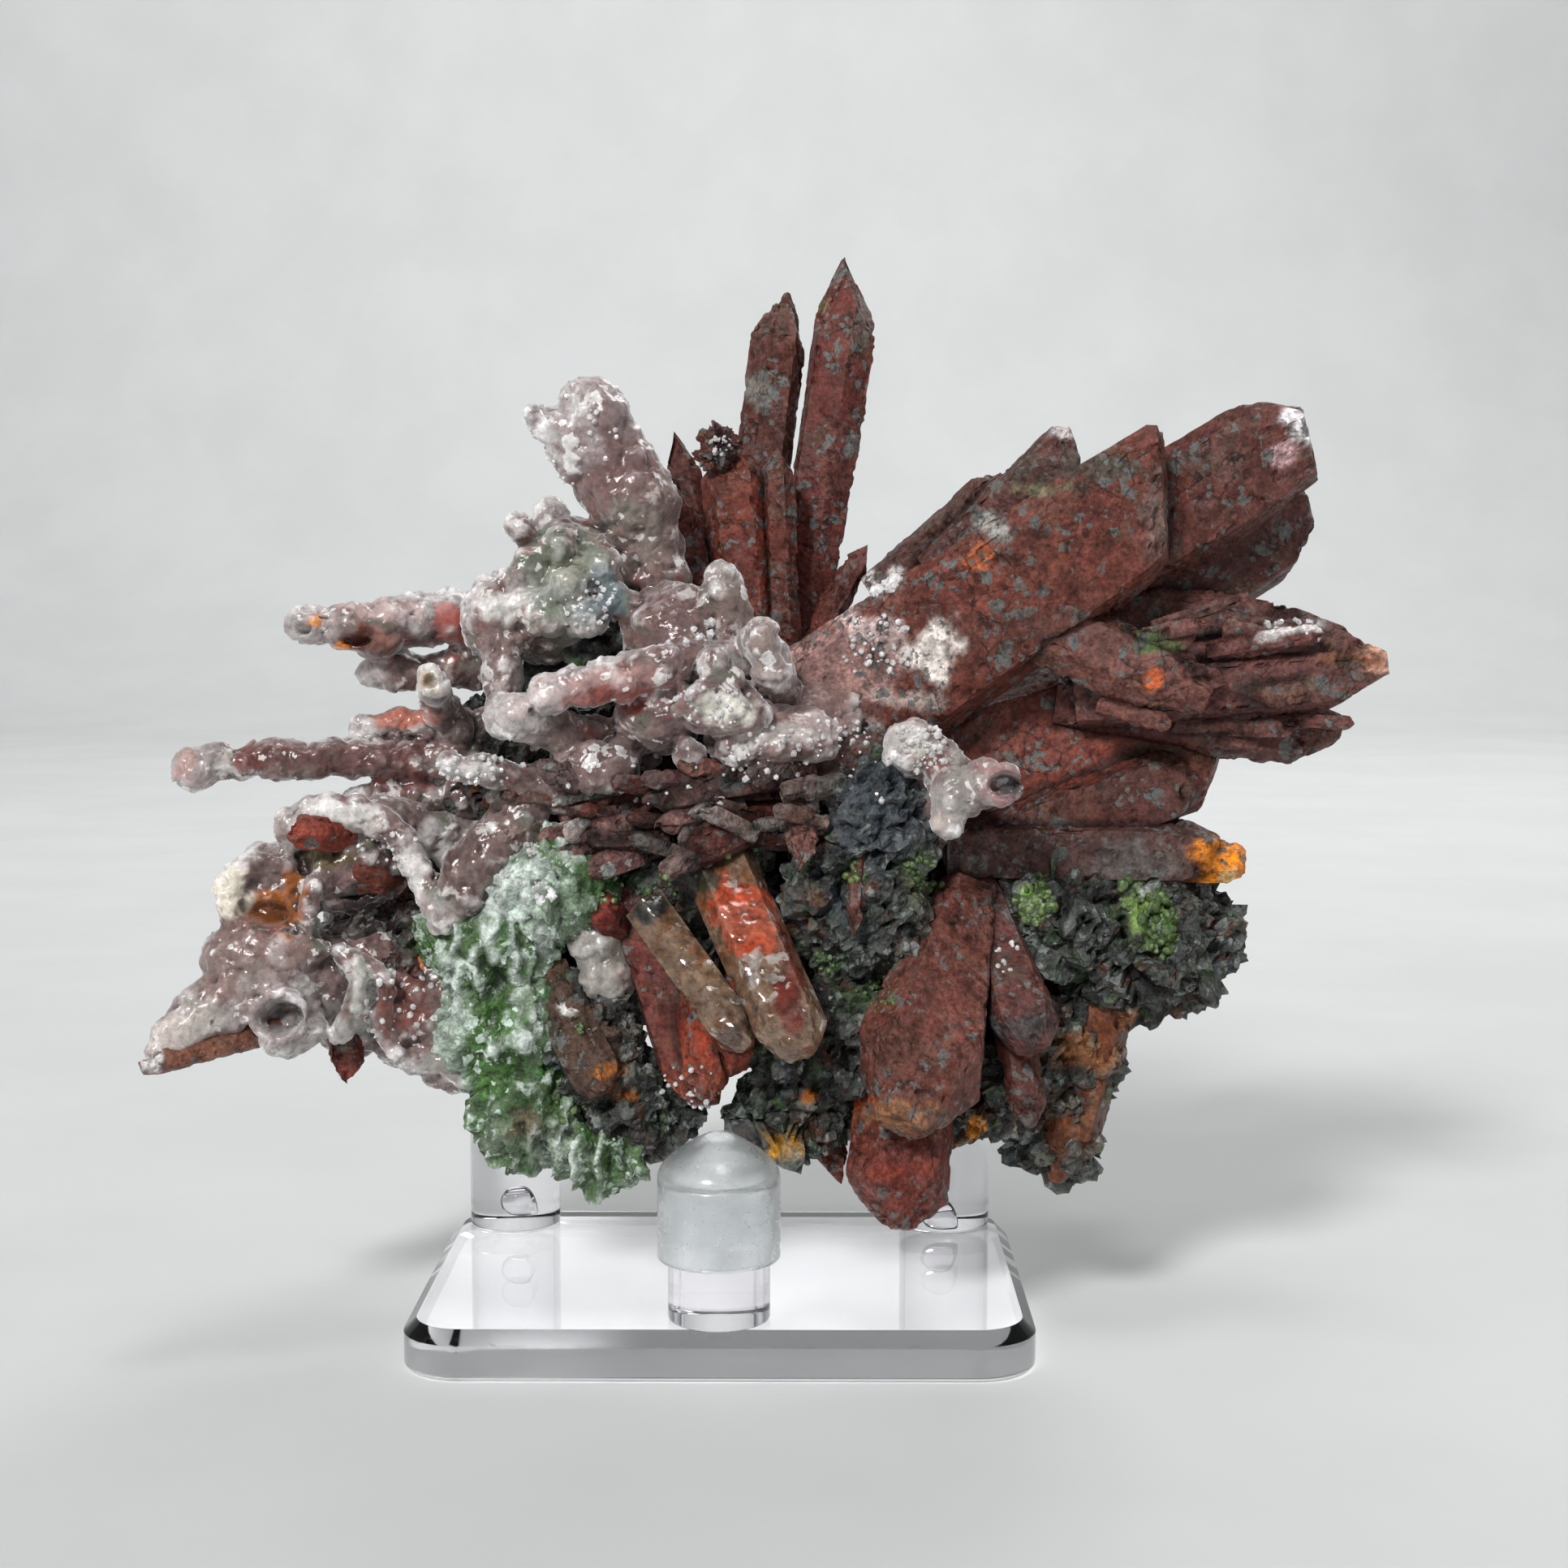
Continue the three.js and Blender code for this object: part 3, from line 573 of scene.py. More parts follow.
class Crystal:
    """One crystal's plane faces, and a fine skin over them.

    wide and thick are the size across and front to back, point the length of the end faces, spin the
    turn about the axis, taper the width at the root over that at the shoulder, blunt the size of the
    flat left at the tip, lean how far the tip is off the axis, slope how much further one edge of the end
    reaches than the other and faces the relative distances of the three pairs of side faces.
    """

    def __init__(self, row):
        self.root = np.array(row["root"], float)
        tip = np.array(row["tip"], float)
        self.length = np.linalg.norm(tip - self.root)
        self.axis = (tip - self.root) / self.length
        front = np.array([0, -1.0, 0])
        front = front - front @ self.axis * self.axis
        self.front = front / np.linalg.norm(front)
        self.side = np.cross(self.axis, self.front)
        a = np.radians(row["spin"] + 90 + 60 * np.arange(SIDES))
        b = a + math.radians(60)
        near = np.resize(row["faces"], SIDES)
        then = np.roll(near, -1)
        corners = np.stack([near * np.sin(b) - then * np.sin(a), then * np.cos(a) - near * np.cos(b)], 1)
        corners /= np.abs(corners).max(0)
        self.corners = corners * [row["wide"] / 2, row["thick"] / 2]
        self.row = row
        self.middle = (self.root + tip) / 2
        self.size = self.length / 2 + row["wide"]
        self.end = tip + self.side * row["lean"]
        stagger = row["point"] * SHOULDER_STAGGER * np.where(np.arange(SIDES) % 2, 1, -1)
        slope = row["slope"]
        points = [*self.ring(0, row["taper"]), *self.ring(self.length - row["point"], 1, stagger, 0, slope)]
        if row["blunt"]:
            points += [*self.ring(self.length, row["blunt"], 0, row["lean"], slope)]
        else:
            points.append(self.end)
        self.planes = self.faces_of(points)

    def ring(self, along, scale, stagger=0, shift=0.0, slope=0.0):
        """The corners at a place along the axis, scaled, stepped, moved aside and sloped."""
        across = self.corners * scale
        along = along + stagger - slope * across[:, 0]
        return (self.root + along[:, None] * self.axis + (across[:, :1] + shift) * self.side
                + across[:, 1:] * self.front)

    @staticmethod
    def faces_of(points):
        """The distinct planes of the hull."""
        shape = hull(points)
        shape.normal_update()
        found = []
        for face in sorted(shape.faces, key=lambda f: -f.calc_area()):
            normal = np.array(face.normal[:])
            offset = normal @ np.array(face.verts[0].co[:])
            if face.calc_area() > LEAST_FACE and all(normal @ n < SAME_FACE for n, d in found):
                found.append((normal, offset))
        shape.free()
        return np.array([n for n, d in found]), np.array([d for n, d in found])

    def skin(self, step):
        """Vertices, triangles, and for each vertex its face's normal and how near an edge it is."""
        edges = np.roll(self.corners, -1, 0) - self.corners
        around = []
        for corner, edge in zip(self.corners, edges):
            count = max(2, int(np.linalg.norm(edge) / step))
            around += [corner + edge * n / count for n in range(count)]
        around = np.array(around)
        radial = around[:, :1] * self.side + around[:, 1:] * self.front
        radial /= np.linalg.norm(radial, axis=1)[:, None]
        reach = min(self.length * END_SHARE, max(self.row["point"] * 1.1, self.row["wide"] * 0.3))
        centre = self.length - reach
        straight = np.arange(0, centre, step)
        turns = np.linspace(0, math.pi / 2, max(6, int(1.5 * reach / step)))[:-1]
        pole = self.end - (self.root + self.axis * centre)
        pole /= np.linalg.norm(pole)
        starts, aims = [], []
        for along in straight:
            starts.append(np.broadcast_to(self.root + self.axis * along, radial.shape))
            aims.append(radial)
        for turn in turns:
            starts.append(np.broadcast_to(self.root + self.axis * centre, radial.shape))
            aims.append(math.cos(turn) * radial + math.sin(turn) * pole)
        starts.append((self.root + self.axis * centre)[None])
        aims.append(pole[None])
        starts.append((self.root - self.axis * ROOT_DEPTH)[None])
        aims.append(self.axis[None] * 0.001)
        starts, aims = np.concatenate(starts), np.concatenate(aims)
        normals, offsets = self.planes
        facing = aims @ normals.T
        reach = (offsets - starts @ normals.T) / np.where(facing > 1e-6, facing, 1)
        reach = np.where(facing > 1e-6, reach, NO_HIT)
        order = np.argsort(reach, axis=1)
        nearest = np.take_along_axis(reach, order[:, :2], 1)
        soft = -EDGE_ROUND * np.log(np.exp(-(reach - nearest[:, :1]) / EDGE_ROUND).sum(1)) + nearest[:, 0]
        soft[-1] = 0
        verts = starts + aims * soft[:, None]
        edge = np.exp(-(nearest[:, 1] - nearest[:, 0]) / EDGE_REACH)
        rows, size = len(straight) + len(turns), len(radial)
        n = np.arange(rows - 1)[:, None] * size
        m = np.arange(size)
        after = (m + 1) % size
        quads = np.stack([n + m, n + after, n + size + after, n + size + m], -1).reshape(-1, 4)
        last = (rows - 1) * size
        top, bottom = rows * size, rows * size + 1
        tip_fan = np.stack([last + m, last + after, np.full(size, top), np.full(size, top)], 1)
        root_fan = np.stack([after, m, np.full(size, bottom), np.full(size, bottom)], 1)
        faces = np.concatenate([quads[:, [0, 1, 2]], quads[:, [0, 2, 3]], tip_fan[:, :3], root_fan[:, :3]])
        faces = faces[:, ::-1]
        return verts, faces, normals[order[:, 0]], edge

    def local(self, points):
        """Points across, to the front and along the axis."""
        away = points - self.root
        return np.stack([away @ self.side, away @ self.front, away @ self.axis], 1)


def blades(count, box, y, angle, long, wide, seed):
    """Rows for small crystals strewn over part of the view: box is its left, top, right and bottom."""
    rng = np.random.default_rng(seed)
    rows = []
    for _ in range(count):
        across, down = rng.uniform(box[0], box[2]), rng.uniform(box[1], box[3])
        depth = rng.uniform(*y)
        turn = math.radians(rng.uniform(*angle))
        size = rng.uniform(*long)
        root = seen(across, down, depth + rng.uniform(1, 4))
        tip = seen(across + math.cos(turn) * size, down - math.sin(turn) * size, depth - rng.uniform(0, 2))
        broad = rng.uniform(*wide)
        rows.append(grown(root, tip, broad, broad * rng.uniform(0.5, 0.9), broad * rng.uniform(0.4, 0.9),
                          spin=rng.uniform(-30, 30), blunt=rng.choice([0, 0.3, 0.6])))
    return rows


def contact_shade(verts, crystal, others):
    """How near each point is to another crystal, from 0 to 1 where they meet."""
    nearest = np.full(len(verts), FAR)
    for other in others:
        apart = np.linalg.norm(other.middle - crystal.middle)
        if other.row is crystal.row or apart > other.size + crystal.size:
            continue
        normals, offsets = other.planes
        nearest = np.minimum(nearest, (verts @ normals.T - offsets).max(1))
    return 1 - ramp(nearest, 0.0, CONTACT)


LINES, STEPS, WAVES, FINE = 0.07, 0.16, 0.06, 0.045  # how high a crystal's relief stands, in mm
CHIPS, PITS = 0.6, 0.16  # how deep its edges are chipped and its faces pitted
ALONG_LINES, ALONG_STEPS = [1.7, 1.7, 0.16], [0.9, 0.9, 0.22]  # how both are drawn out along the axis
STEP_SIZE, WAVE_SIZE, CRUST_SIZE, CHIP_SIZE, PIT_SIZE, FINE_SIZE = 3.0, 9, 5.5, 1.6, 1.1, 0.8
STEPS_PER_UNIT = 3.5
GRANULE = 0.85  # the size of the grains of its crust
GRANULE_EDGE = 0.62  # how far from its middle a grain has sunk to the bed
CRUST_BED, CRUST_BUMPS = 0.06, 0.3  # how thick the crust is, and how high its grains stand
CRUST_FADE = 0.22


def crystal_group(name, rows, step, material, patches, seed, slot="red_quartz", crust=0.1, roughness=1.0,
                  hues=(), shades=(0.84, 1.1)):
    """Several crystals as one piece, with growth lines, chipped edges and patches of crust.

    Each crystal takes one of the hues, and its own share of brightness from the range of shades.
    """
    skins, masks, tints = [], [], []
    others = [Crystal(row) for row in NEIGHBOURS]
    low, high = shades
    for number, row in enumerate(rows):
        crystal = Crystal(row)
        verts, faces, facing, edge = crystal.skin(step)
        local = crystal.local(verts)
        own = seed * 31 + number * 7  # each crystal's own seed
        lines = noise(local * ALONG_LINES, 1.0, own) * LINES
        steps = np.floor(rough(local * ALONG_STEPS, STEP_SIZE, 3, own) * STEPS_PER_UNIT) / STEPS_PER_UNIT
        waves = rough(verts, WAVE_SIZE, 2, own + 1) * WAVES
        crusted = ramp(rough(verts, CRUST_SIZE, 4, own + 2), crust, crust + CRUST_FADE)
        first = grains(verts, GRANULE, own)[0]
        coat = crusted * (CRUST_BED + (GRANULE_EDGE - np.minimum(first, GRANULE_EDGE)) * CRUST_BUMPS)
        chips = edge * ramp(rough(verts, CHIP_SIZE, 3, own + 4), 0.2, 0.6)
        pits = ramp(rough(verts, PIT_SIZE, 3, own + 5), 0.38, 0.7)
        fine = rough(verts, FINE_SIZE, 3, own + 6) * FINE
        moved = (lines + steps * STEPS + waves + coat + fine - chips * CHIPS - pits * PITS) * roughness
        verts = verts + facing * moved[:, None]
        # Pits and the beds between crust grains painted dark as shade, and painted contact shade where
        # crystals meet.
        hollow = np.clip(pits * 0.4 + crusted * ramp(first, 0.45, 0.75) * 0.5, 0, 1)
        hollow = np.maximum(hollow, 0.8 * contact_shade(verts, crystal, others))
        wear_and_rim_light = np.clip(edge * 0.25 + crusted * 0.2, 0, 1)
        shade = np.full(len(verts), low + (high - low) * hashed(number, seed, 3, 5))
        skins.append((verts, faces))
        masks.append(np.column_stack([hollow, wear_and_rim_light, crusted, shade]))
        hue = hues[number % len(hues)] if hues else PLAIN_HUE
        tints.append(np.tile(linear(*hue), (len(verts), 1)))
    verts, faces = joined(skins)
    tint, strength = np.concatenate(tints), np.full(len(verts), HUE_SHARE if hues else 0.0)
    paint(verts, normals_of(verts, faces), tint, strength, patches)
    return dress(name, verts, faces, material, slot, (tint, strength), [np.concatenate(masks)], crisp=CRISP)


# ---------------------------------------------------------------- chalcedony, matrix and druse

PATH_STEP = 0.5  # between the balls on a path, over their radius
MOST_KNOB = 1.7  # the radius of the largest knob
SMALL_KNOB = 0.8  # a knob under this radius is a plainer ball
BULGE = 0.12
LUMP_SHARE = 18  # the volume of a lump that carries one set of knobs


def along(knots):
    """Points and radii on a smooth path through the knots, each [x, y, z, radius]."""
    knots = np.array(knots, float)
    held = np.concatenate([knots[:1] * 2 - knots[1:2], knots, knots[-1:] * 2 - knots[-2:-1]])
    path = []
    for a, b, c, d in zip(held, held[1:], held[2:], held[3:]):
        count = max(2, int(np.linalg.norm(c[:3] - b[:3]) / (PATH_STEP * (b[3] + c[3]) / 2)))
        for t in np.arange(count) / count:
            path.append(0.5 * (2 * b + (c - a) * t + (2 * a - 5 * b + 4 * c - d) * t ** 2
                               + (3 * b - a - 3 * c + d) * t ** 3))
    path = np.array(path + [knots[-1]])
    path[:, 3] = np.clip(path[:, 3], knots[:, 3].min(), knots[:, 3].max())
    return path


def knobbly(chains, lumps, knobs, rng):
    """Balls along the chains and in the lumps, with smaller knobs grown on them."""
    parts = []
    cores = []
    for chain in chains:
        for x, y, z, radius in along(chain):
            own = radius * (1 + BULGE * rng.uniform(-1, 1))
            centre = np.array([x, y, z]) + rng.normal(0, 0.1 * radius, 3)
            parts.append(ball(centre, [own] * 3))
            cores.append((centre, [own] * 3))
    for lump in lumps:
        parts.append(ball(lump[:3], np.array(lump[3:]) * 0.97, 3))
        cores += [(np.array(lump[:3], float), lump[3:])] * max(1, int(np.prod(lump[3:]) / LUMP_SHARE))
    for centre, radii in cores:
        for _ in range(knobs):
            way = unit(rng)[0]
            size = min(np.mean(radii) * rng.uniform(0.16, 0.42), MOST_KNOB)
            place = centre + way * (np.array(radii) - size * 0.72)
            parts.append(ball(place, [size] * 3, 1 if size < SMALL_KNOB else 2))
    return parts


def swell(verts, faces, net, near, far):
    """How far each point stands above the surface smoothed near it and far round it, and the normals."""
    normals = normals_of(verts, faces)
    rise = net.smooth(((verts - net.smooth(verts, near)) * normals).sum(1), 1)
    wide_rise = net.smooth(((verts - net.smooth(verts, far)) * normals).sum(1), 2)
    return rise, wide_rise, normals


HOLLOW_LAYER = 4.0  # how far behind its front an opening takes the surface with it


def hollow_out(verts, hollows):
    """Pushes openings into what is seen, each a zone and its depth in mm, and says how deep each point is."""
    across, down = in_view(verts)
    facing = verts @ AHEAD
    opened = np.zeros(len(verts))
    for hollow in hollows:
        deep = hollow[4]
        reach = np.sqrt(elliptic(across, down, hollow))
        front = facing[reach < 1.6].min()
        layer = (reach < 1.6) & (facing < front + HOLLOW_LAYER)
        push = (1 - ramp(reach, 0.6, 1.05)) * deep * layer
        verts += push[:, None] * AHEAD
        opened = np.maximum(opened, push / deep)
    return opened


KNOB_CELLS, BEAD_CELLS = 2.3, 1.0  # the sizes of the rounded cells and beads on chalcedony, in mm
KNOB_RISE, KNOB_SLANT = 0.45, 0.4
KNOB_LEVEL = 0.45  # how far from its middle a cell is level with the surface
BEAD_RISE, BEAD_SLANT = 0.26, 0.14
FINE_RISE = 0.1
BEADED_SIZE, COATED_SIZE, RIM_LIT_SIZE = 5, 7, 4  # of the patches that are beaded, coated and painted with rim light
RIM_LIT_SIDE = np.array([-0.55, -0.1, 0.83])  # the upper left side, on which rim light is painted white on the growths
GROWTH_HUE = (150, 110, 105)


def growth(name, chains, lumps, knobs, voxel, patches, hollows, seed, spots=()):
    """Botryoidal chalcedony: round knobs with milky rims, partly painted rim light, and clefts painted dark
    as shade.

    A spot is a round knob (across, down, depth y, radius), placed where it is seen.
    """
    rng = np.random.default_rng(seed)
    parts = knobbly(chains, lumps, knobs, rng)
    for across, down, y, radius in spots:
        parts.append(ball(seen(across, down, y), radius * rng.uniform(0.85, 1.15, 3), 3))
    verts, faces = remeshed(parts, voxel, 2)
    net = Net(verts, faces)
    normals = normals_of(verts, faces)
    # Rounded cells all over, and fine beads in places.
    first, _, _, slant = grains(verts, KNOB_CELLS, seed)
    round_cells = (KNOB_LEVEL - np.minimum(first, 0.75)) * KNOB_RISE
    verts = verts + normals * (round_cells + slant * KNOB_SLANT)[:, None]
    first, _, _, slant = grains(verts, BEAD_CELLS, seed + 5)
    beads = ramp(rough(verts, BEADED_SIZE, 3, seed + 9), 0.0, 0.35)
    round_beads = beads * (0.5 - np.minimum(first, 0.8)) * BEAD_RISE
    fine = rough(verts, CHIP_SIZE, 2, seed + 6) * FINE_RISE
    verts = verts + normals * (round_beads + slant * BEAD_SLANT + fine)[:, None]
    rise, wide_rise, normals = swell(verts, faces, net, 10, 45)
    # Clefts painted dark as shade.
    hollow = np.maximum(ramp(-rise, 0.05, 0.26), ramp(-wide_rise, 0.15, 0.9) * 0.85)
    # Milky white, partly the milky coat and partly painted rim light, where the surface stands out, in broad
    # patches and on the fingertips, and painted rim light on the upper left side.
    rim = ramp(rise, 0.06, 0.26) * 0.6 + 0.6 * ramp(wide_rise, 0.25, 0.9)
    rim = rim + 0.8 * ramp(rough(verts, COATED_SIZE, 3, seed + 8), 0.0, 0.5) - 0.35
    rim_lit_patches = ramp(rough(verts, RIM_LIT_SIZE, 3, seed + 15), -0.4, 0.2)
    rim = rim + 0.55 * ramp(normals @ RIM_LIT_SIDE, 0.3, 0.95) * rim_lit_patches
    for chain in chains:
        reach = np.linalg.norm(verts - chain[-1][:3], axis=1) / chain[-1][3]
        rim = np.maximum(rim, 0.8 - 0.4 * reach)
    rim = np.clip(rim, 0, 1)
    # Openings painted dark as shade inside.
    hollow = np.maximum(hollow, hollow_out(verts, hollows) * 0.4)
    tint, strength = np.tile(linear(*GROWTH_HUE), (len(verts), 1)), np.zeros(len(verts))
    paint(verts, normals, tint, strength, patches)
    mask = (hollow, rim * (1 - 0.65 * strength), beads * 0.5, np.ones(len(verts)))
    return dress(name, verts, faces, pale_stone, "chalcedony", (tint, strength), mask)


def clear_of_stand(verts):
    """Moves what would be inside a peg or the cap to its surface."""
    for x, y, top, radius in SEATS:
        out = verts[:, :2] - [x, y]
        reach = np.maximum(np.linalg.norm(out, axis=1), 1e-6)
        inside = (reach < radius) & (verts[:, 2] < top)
        upward = inside & (top - verts[:, 2] < (radius - reach) * 1.5)
        outward = inside & ~upward
        verts[upward, 2] = top
        verts[outward, :2] = [x, y] + out[outward] / reach[outward, None] * radius
    return verts


CHUNKS = 3  # for each 4 mm of a lump's radius
MOST_CHUNK = 3.6  # the radius of the largest chunk
CHIP_SHARE = 0.38  # the size of the chips over that of the blocks
GRIT_SIZE = 0.9  # of the finest grains, in mm
# How a kind of block lies: its level, how much it steps up and tilts, and its clefts' depth and width.
BLOCKS = dict(level=0.6, step=1.3, tilt=1.9, cleft=0.4, width=0.12)
CHIPPED = dict(level=0.5, step=0.6, tilt=0.85, cleft=0.2, width=0.15)
GRIT = dict(level=0.5, step=0.16, tilt=0.36, cleft=0.0, width=0.15)
SWELL, SWELL_SIZE = 0.6, 6
BEND, BEND_SIZE = 0.5, 2.0  # how far the blocks' edges are bent
FOLD_SIZE = 2.2
DRAWN_OUT = [1.0, 0.8, 0.24]  # how folds of crust are drawn out downwards
ROCK_HUE = (90, 90, 88)


def broken(points, size, seed, level, step, tilt, cleft, width):
    """The height of random slanted blocks at each point, and each block's own number."""
    first, second, cell, slant = grains(points, size, seed)
    return (cell - level) * step + slant * tilt - cleft * (1 - ramp(second - first, 0, width)), cell


def rock(name, lumps, voxel, material, patches, seed, coarse=4.2, height=1.0, slot="matrix", folds=0.0):
    """Crumbled rock: blocks and grains with clefts between them, or hanging folds of crust."""
    rng = np.random.default_rng(seed)
    parts = [ball(lump[:3], np.array(lump[3:]) * 0.96, 3) for lump in lumps]
    for lump in lumps:
        for _ in range(CHUNKS * max(1, int(np.mean(lump[3:]) / 4))):
            way = unit(rng)[0]
            size = min(np.mean(lump[3:]) * rng.uniform(0.15, 0.38), MOST_CHUNK)
            shape = size * rng.uniform(0.7, 1.4, 3)
            parts.append(chunk(lump[:3] + way * (np.array(lump[3:]) - size * 0.75), shape, rng))
    verts, faces = remeshed(parts, voxel, 1)
    net = Net(verts, faces)
    normals = net.smooth(normals_of(verts, faces), 3)
    bent = verts + BEND * np.stack([noise(verts, BEND_SIZE, seed + n) for n in range(3)], 1)
    blocks, _ = broken(bent, coarse, seed, **BLOCKS)
    chips, chip = broken(bent, coarse * CHIP_SHARE, seed + 11, **CHIPPED)
    grit, grain = broken(verts, GRIT_SIZE, seed + 17, **GRIT)
    moved = (blocks + chips) * height + grit + rough(verts, SWELL_SIZE, 4, seed + 21) * SWELL * height
    hung = 1 - 2 * np.abs(rough(bent * DRAWN_OUT, FOLD_SIZE, 2, seed + 31))
    moved += folds * hung
    verts = clear_of_stand(verts + normals * moved[:, None])
    rise, wide_rise, normals = swell(verts, faces, net, 8, 40)
    # Clefts painted dark as shade.
    hollow = np.maximum(ramp(-rise, 0.1, 0.42), ramp(-wide_rise, 0.35, 1.3) * 0.8)
    wear_and_rim_light = ramp(rise, 0.12, 0.5) * ramp(chip, 0.3, 0.9) * 0.7
    if folds:
        wear_and_rim_light = np.maximum(wear_and_rim_light, ramp(hung, 0.45, 0.9) * ramp(rough(verts, 6, 3, seed + 33), -0.1, 0.4))
    tint, strength = np.tile(linear(*ROCK_HUE), (len(verts), 1)), np.zeros(len(verts))
    paint(verts, normals, tint, strength, patches)
    mask = (hollow, wear_and_rim_light, ramp(grain, 0.85, 0.95), 0.78 + 0.44 * chip)
    return dress(name, verts, faces, material, slot, (tint, strength), mask, crisp=None if folds else CRISP)


DRUSE_DEPTH = 7  # how far behind the front of its zone a small crystal may sit
DRUSE_LEAN = 0.35
SMALL_BEAD = 0.4


def hexagon_prism():
    """The faces of a six-sided prism with a point at each end, from its two rings and two points."""
    here = np.arange(SIDES)
    after = (here + 1) % SIDES
    low, high = np.full(SIDES, 2 * SIDES), np.full(SIDES, 2 * SIDES + 1)
    return np.concatenate([
        np.stack([after, here, low], 1),
        np.stack([here, after, after + SIDES], 1),
        np.stack([here, after + SIDES, here + SIDES], 1),
        np.stack([here + SIDES, after + SIDES, high], 1),
    ])


def druse(name, pieces, zones, material, slot, seed, rounded=False):
    """Small bright crystals, or round beads, on what is seen at each zone, with their count and size."""
    rng = np.random.default_rng(seed)
    places, facings = [], []
    for piece in pieces:
        verts, faces = read_mesh(piece.data)
        normals = normals_of(verts, faces)
        in_front = normals @ AHEAD < -0.05
        places.append(verts[in_front] / MM)
        facings.append(normals[in_front])
    places, facings = np.concatenate(places), np.concatenate(facings)
    across, down = in_view(places)
    depth = places @ AHEAD
    parts = []
    turn = np.radians(60 * np.arange(SIDES))
    section = np.stack([np.cos(turn), np.sin(turn)], 1)
    faces = hexagon_prism()
    for zone in zones:
        count, size = zone[4:]
        inside = np.flatnonzero(elliptic(across, down, zone) < 1)
        front = np.quantile(depth[inside], 0.02)
        inside = inside[depth[inside] < front + DRUSE_DEPTH]
        for pick in rng.choice(inside, min(count, len(inside)), replace=False):
            if rounded:
                own = size * rng.uniform(0.5, 1.1) / 2
                radii = own * rng.uniform(0.8, 1.2, 3)
                parts.append(ball(places[pick], radii, 1 if own < SMALL_BEAD else 2))
                continue
            axis = facings[pick] + rng.normal(0, DRUSE_LEAN, 3)
            axis /= np.linalg.norm(axis)
            side = np.cross(axis, rng.normal(0, 1, 3))
            side /= np.linalg.norm(side)
            other = np.cross(axis, side)
            radius = size * rng.uniform(0.3, 1.3) / 2
            tall = radius * rng.uniform(0.8, 2.0)
            rings = [places[pick] - axis * tall * 0.6, places[pick] + axis * tall * 0.5]
            corners = [c + radius * (a * side + b * other) for c in rings for a, b in section]
            corners += [rings[0] - axis * radius * 0.5, rings[1] + axis * radius * 0.9]
            parts.append((np.array(corners), faces))
    verts, faces = joined(parts)
    plain, full = np.zeros(len(verts)), np.ones(len(verts))
    tint = (np.ones((len(verts), 3)), plain)
    return dress(name, verts, faces, material, slot, tint, (plain, plain, full, full), smooth=rounded)


# ---------------------------------------------------------------- the stand

ROUND_SIDES = 72
EASE_STEPS = 4


def turned(profile, centre):
    """A closed round body from its profile of (radius, height), which starts and ends on the axis."""
    turn = 2 * math.pi * np.arange(ROUND_SIDES) / ROUND_SIDES
    circle = np.stack([np.cos(turn), np.sin(turn)], 1)
    rings = [np.column_stack([circle * r + centre, np.full(ROUND_SIDES, h)]) for r, h in profile[1:-1]]
    return stacked(rings, (*centre, profile[0][1]), (*centre, profile[-1][1]))


def stacked(rings, first, last):
    """A closed skin through rings of points, with a point that closes each end."""
    size = len(rings[0])
    m = np.arange(size)
    after = (m + 1) % size
    faces = []
    for n in range(len(rings) - 1):
        low, high = n * size, (n + 1) * size
        faces.append(np.stack([low + m, low + after, high + after], 1))
        faces.append(np.stack([low + m, high + after, high + m], 1))
    start, end, top = len(rings) * size, len(rings) * size + 1, (len(rings) - 1) * size
    faces.append(np.stack([after, m, np.full(size, start)], 1))
    faces.append(np.stack([top + m, top + after, np.full(size, end)], 1))
    return np.concatenate([*rings, [first, last]]), np.concatenate(faces)


def eased(profile, radius):
    """The profile with each inner corner rounded."""
    points = np.array(profile, float)
    out = [points[0]]
    for before, here, after in zip(points, points[1:], points[2:]):
        one, two = before - here, after - here
        reach = min(radius, np.linalg.norm(one) / 2.2, np.linalg.norm(two) / 2.2)
        one, two = one / np.linalg.norm(one), two / np.linalg.norm(two)
        start, end = here + one * reach, here + two * reach
        out.append(start + one * reach * 0.05)
        for t in np.arange(EASE_STEPS + 1) / EASE_STEPS:
            out.append((1 - t) ** 2 * start + 2 * t * (1 - t) * here + t * t * end)
        out.append(end + two * reach * 0.05)
    return [tuple(p) for p in out + [points[-1]]]


PLATE = dict(long=62, deep=45, high=5, corner=6, edge=0.8)
PEG_RADIUS = 5
SEAM = 0.04  # the air left where two clear pieces rest on each other
FRONT_PEG = (0, -17.5)
REAR_PEGS = {"rear_left_peg": (-24, 17), "rear_right_peg": (24, 17)}
FRONT_TOP = 18.7
REAR_TOP = 33
PEG_FOOT = PLATE["high"] + SEAM
CLEARANCE = 0.3
CAP = dict(radius=6, low=11.1, shoulder=19.4, top=23.6)
BORE = PEG_RADIUS + CLEARANCE
SEATS = [(x, y, REAR_TOP + CLEARANCE, BORE) for x, y in REAR_PEGS.values()]  # x, y, top and radius
SEATS.append((*FRONT_PEG, CAP["top"] + CLEARANCE, CAP["radius"] + CLEARANCE))
CHAMFER = 1.3  # along the plate's upper edge
PEG_EASE = 0.4
CAP_EASE = 0.8
DOME = [(0.93, 0.22), (0.72, 0.5), (0.4, 0.8), (0.14, 0.97)]  # shares of the cap's radius and of its rise
DROPS = {"left": (640, 1480, 11.3), "right": (1158, 1497, 11.2)}  # of cement, where they are seen
DROP_RADII = (2.1, 1.3, 1.7)
DROP_TAIL = np.array([0.78, 0, -0.62])  # the way in which a drop has run


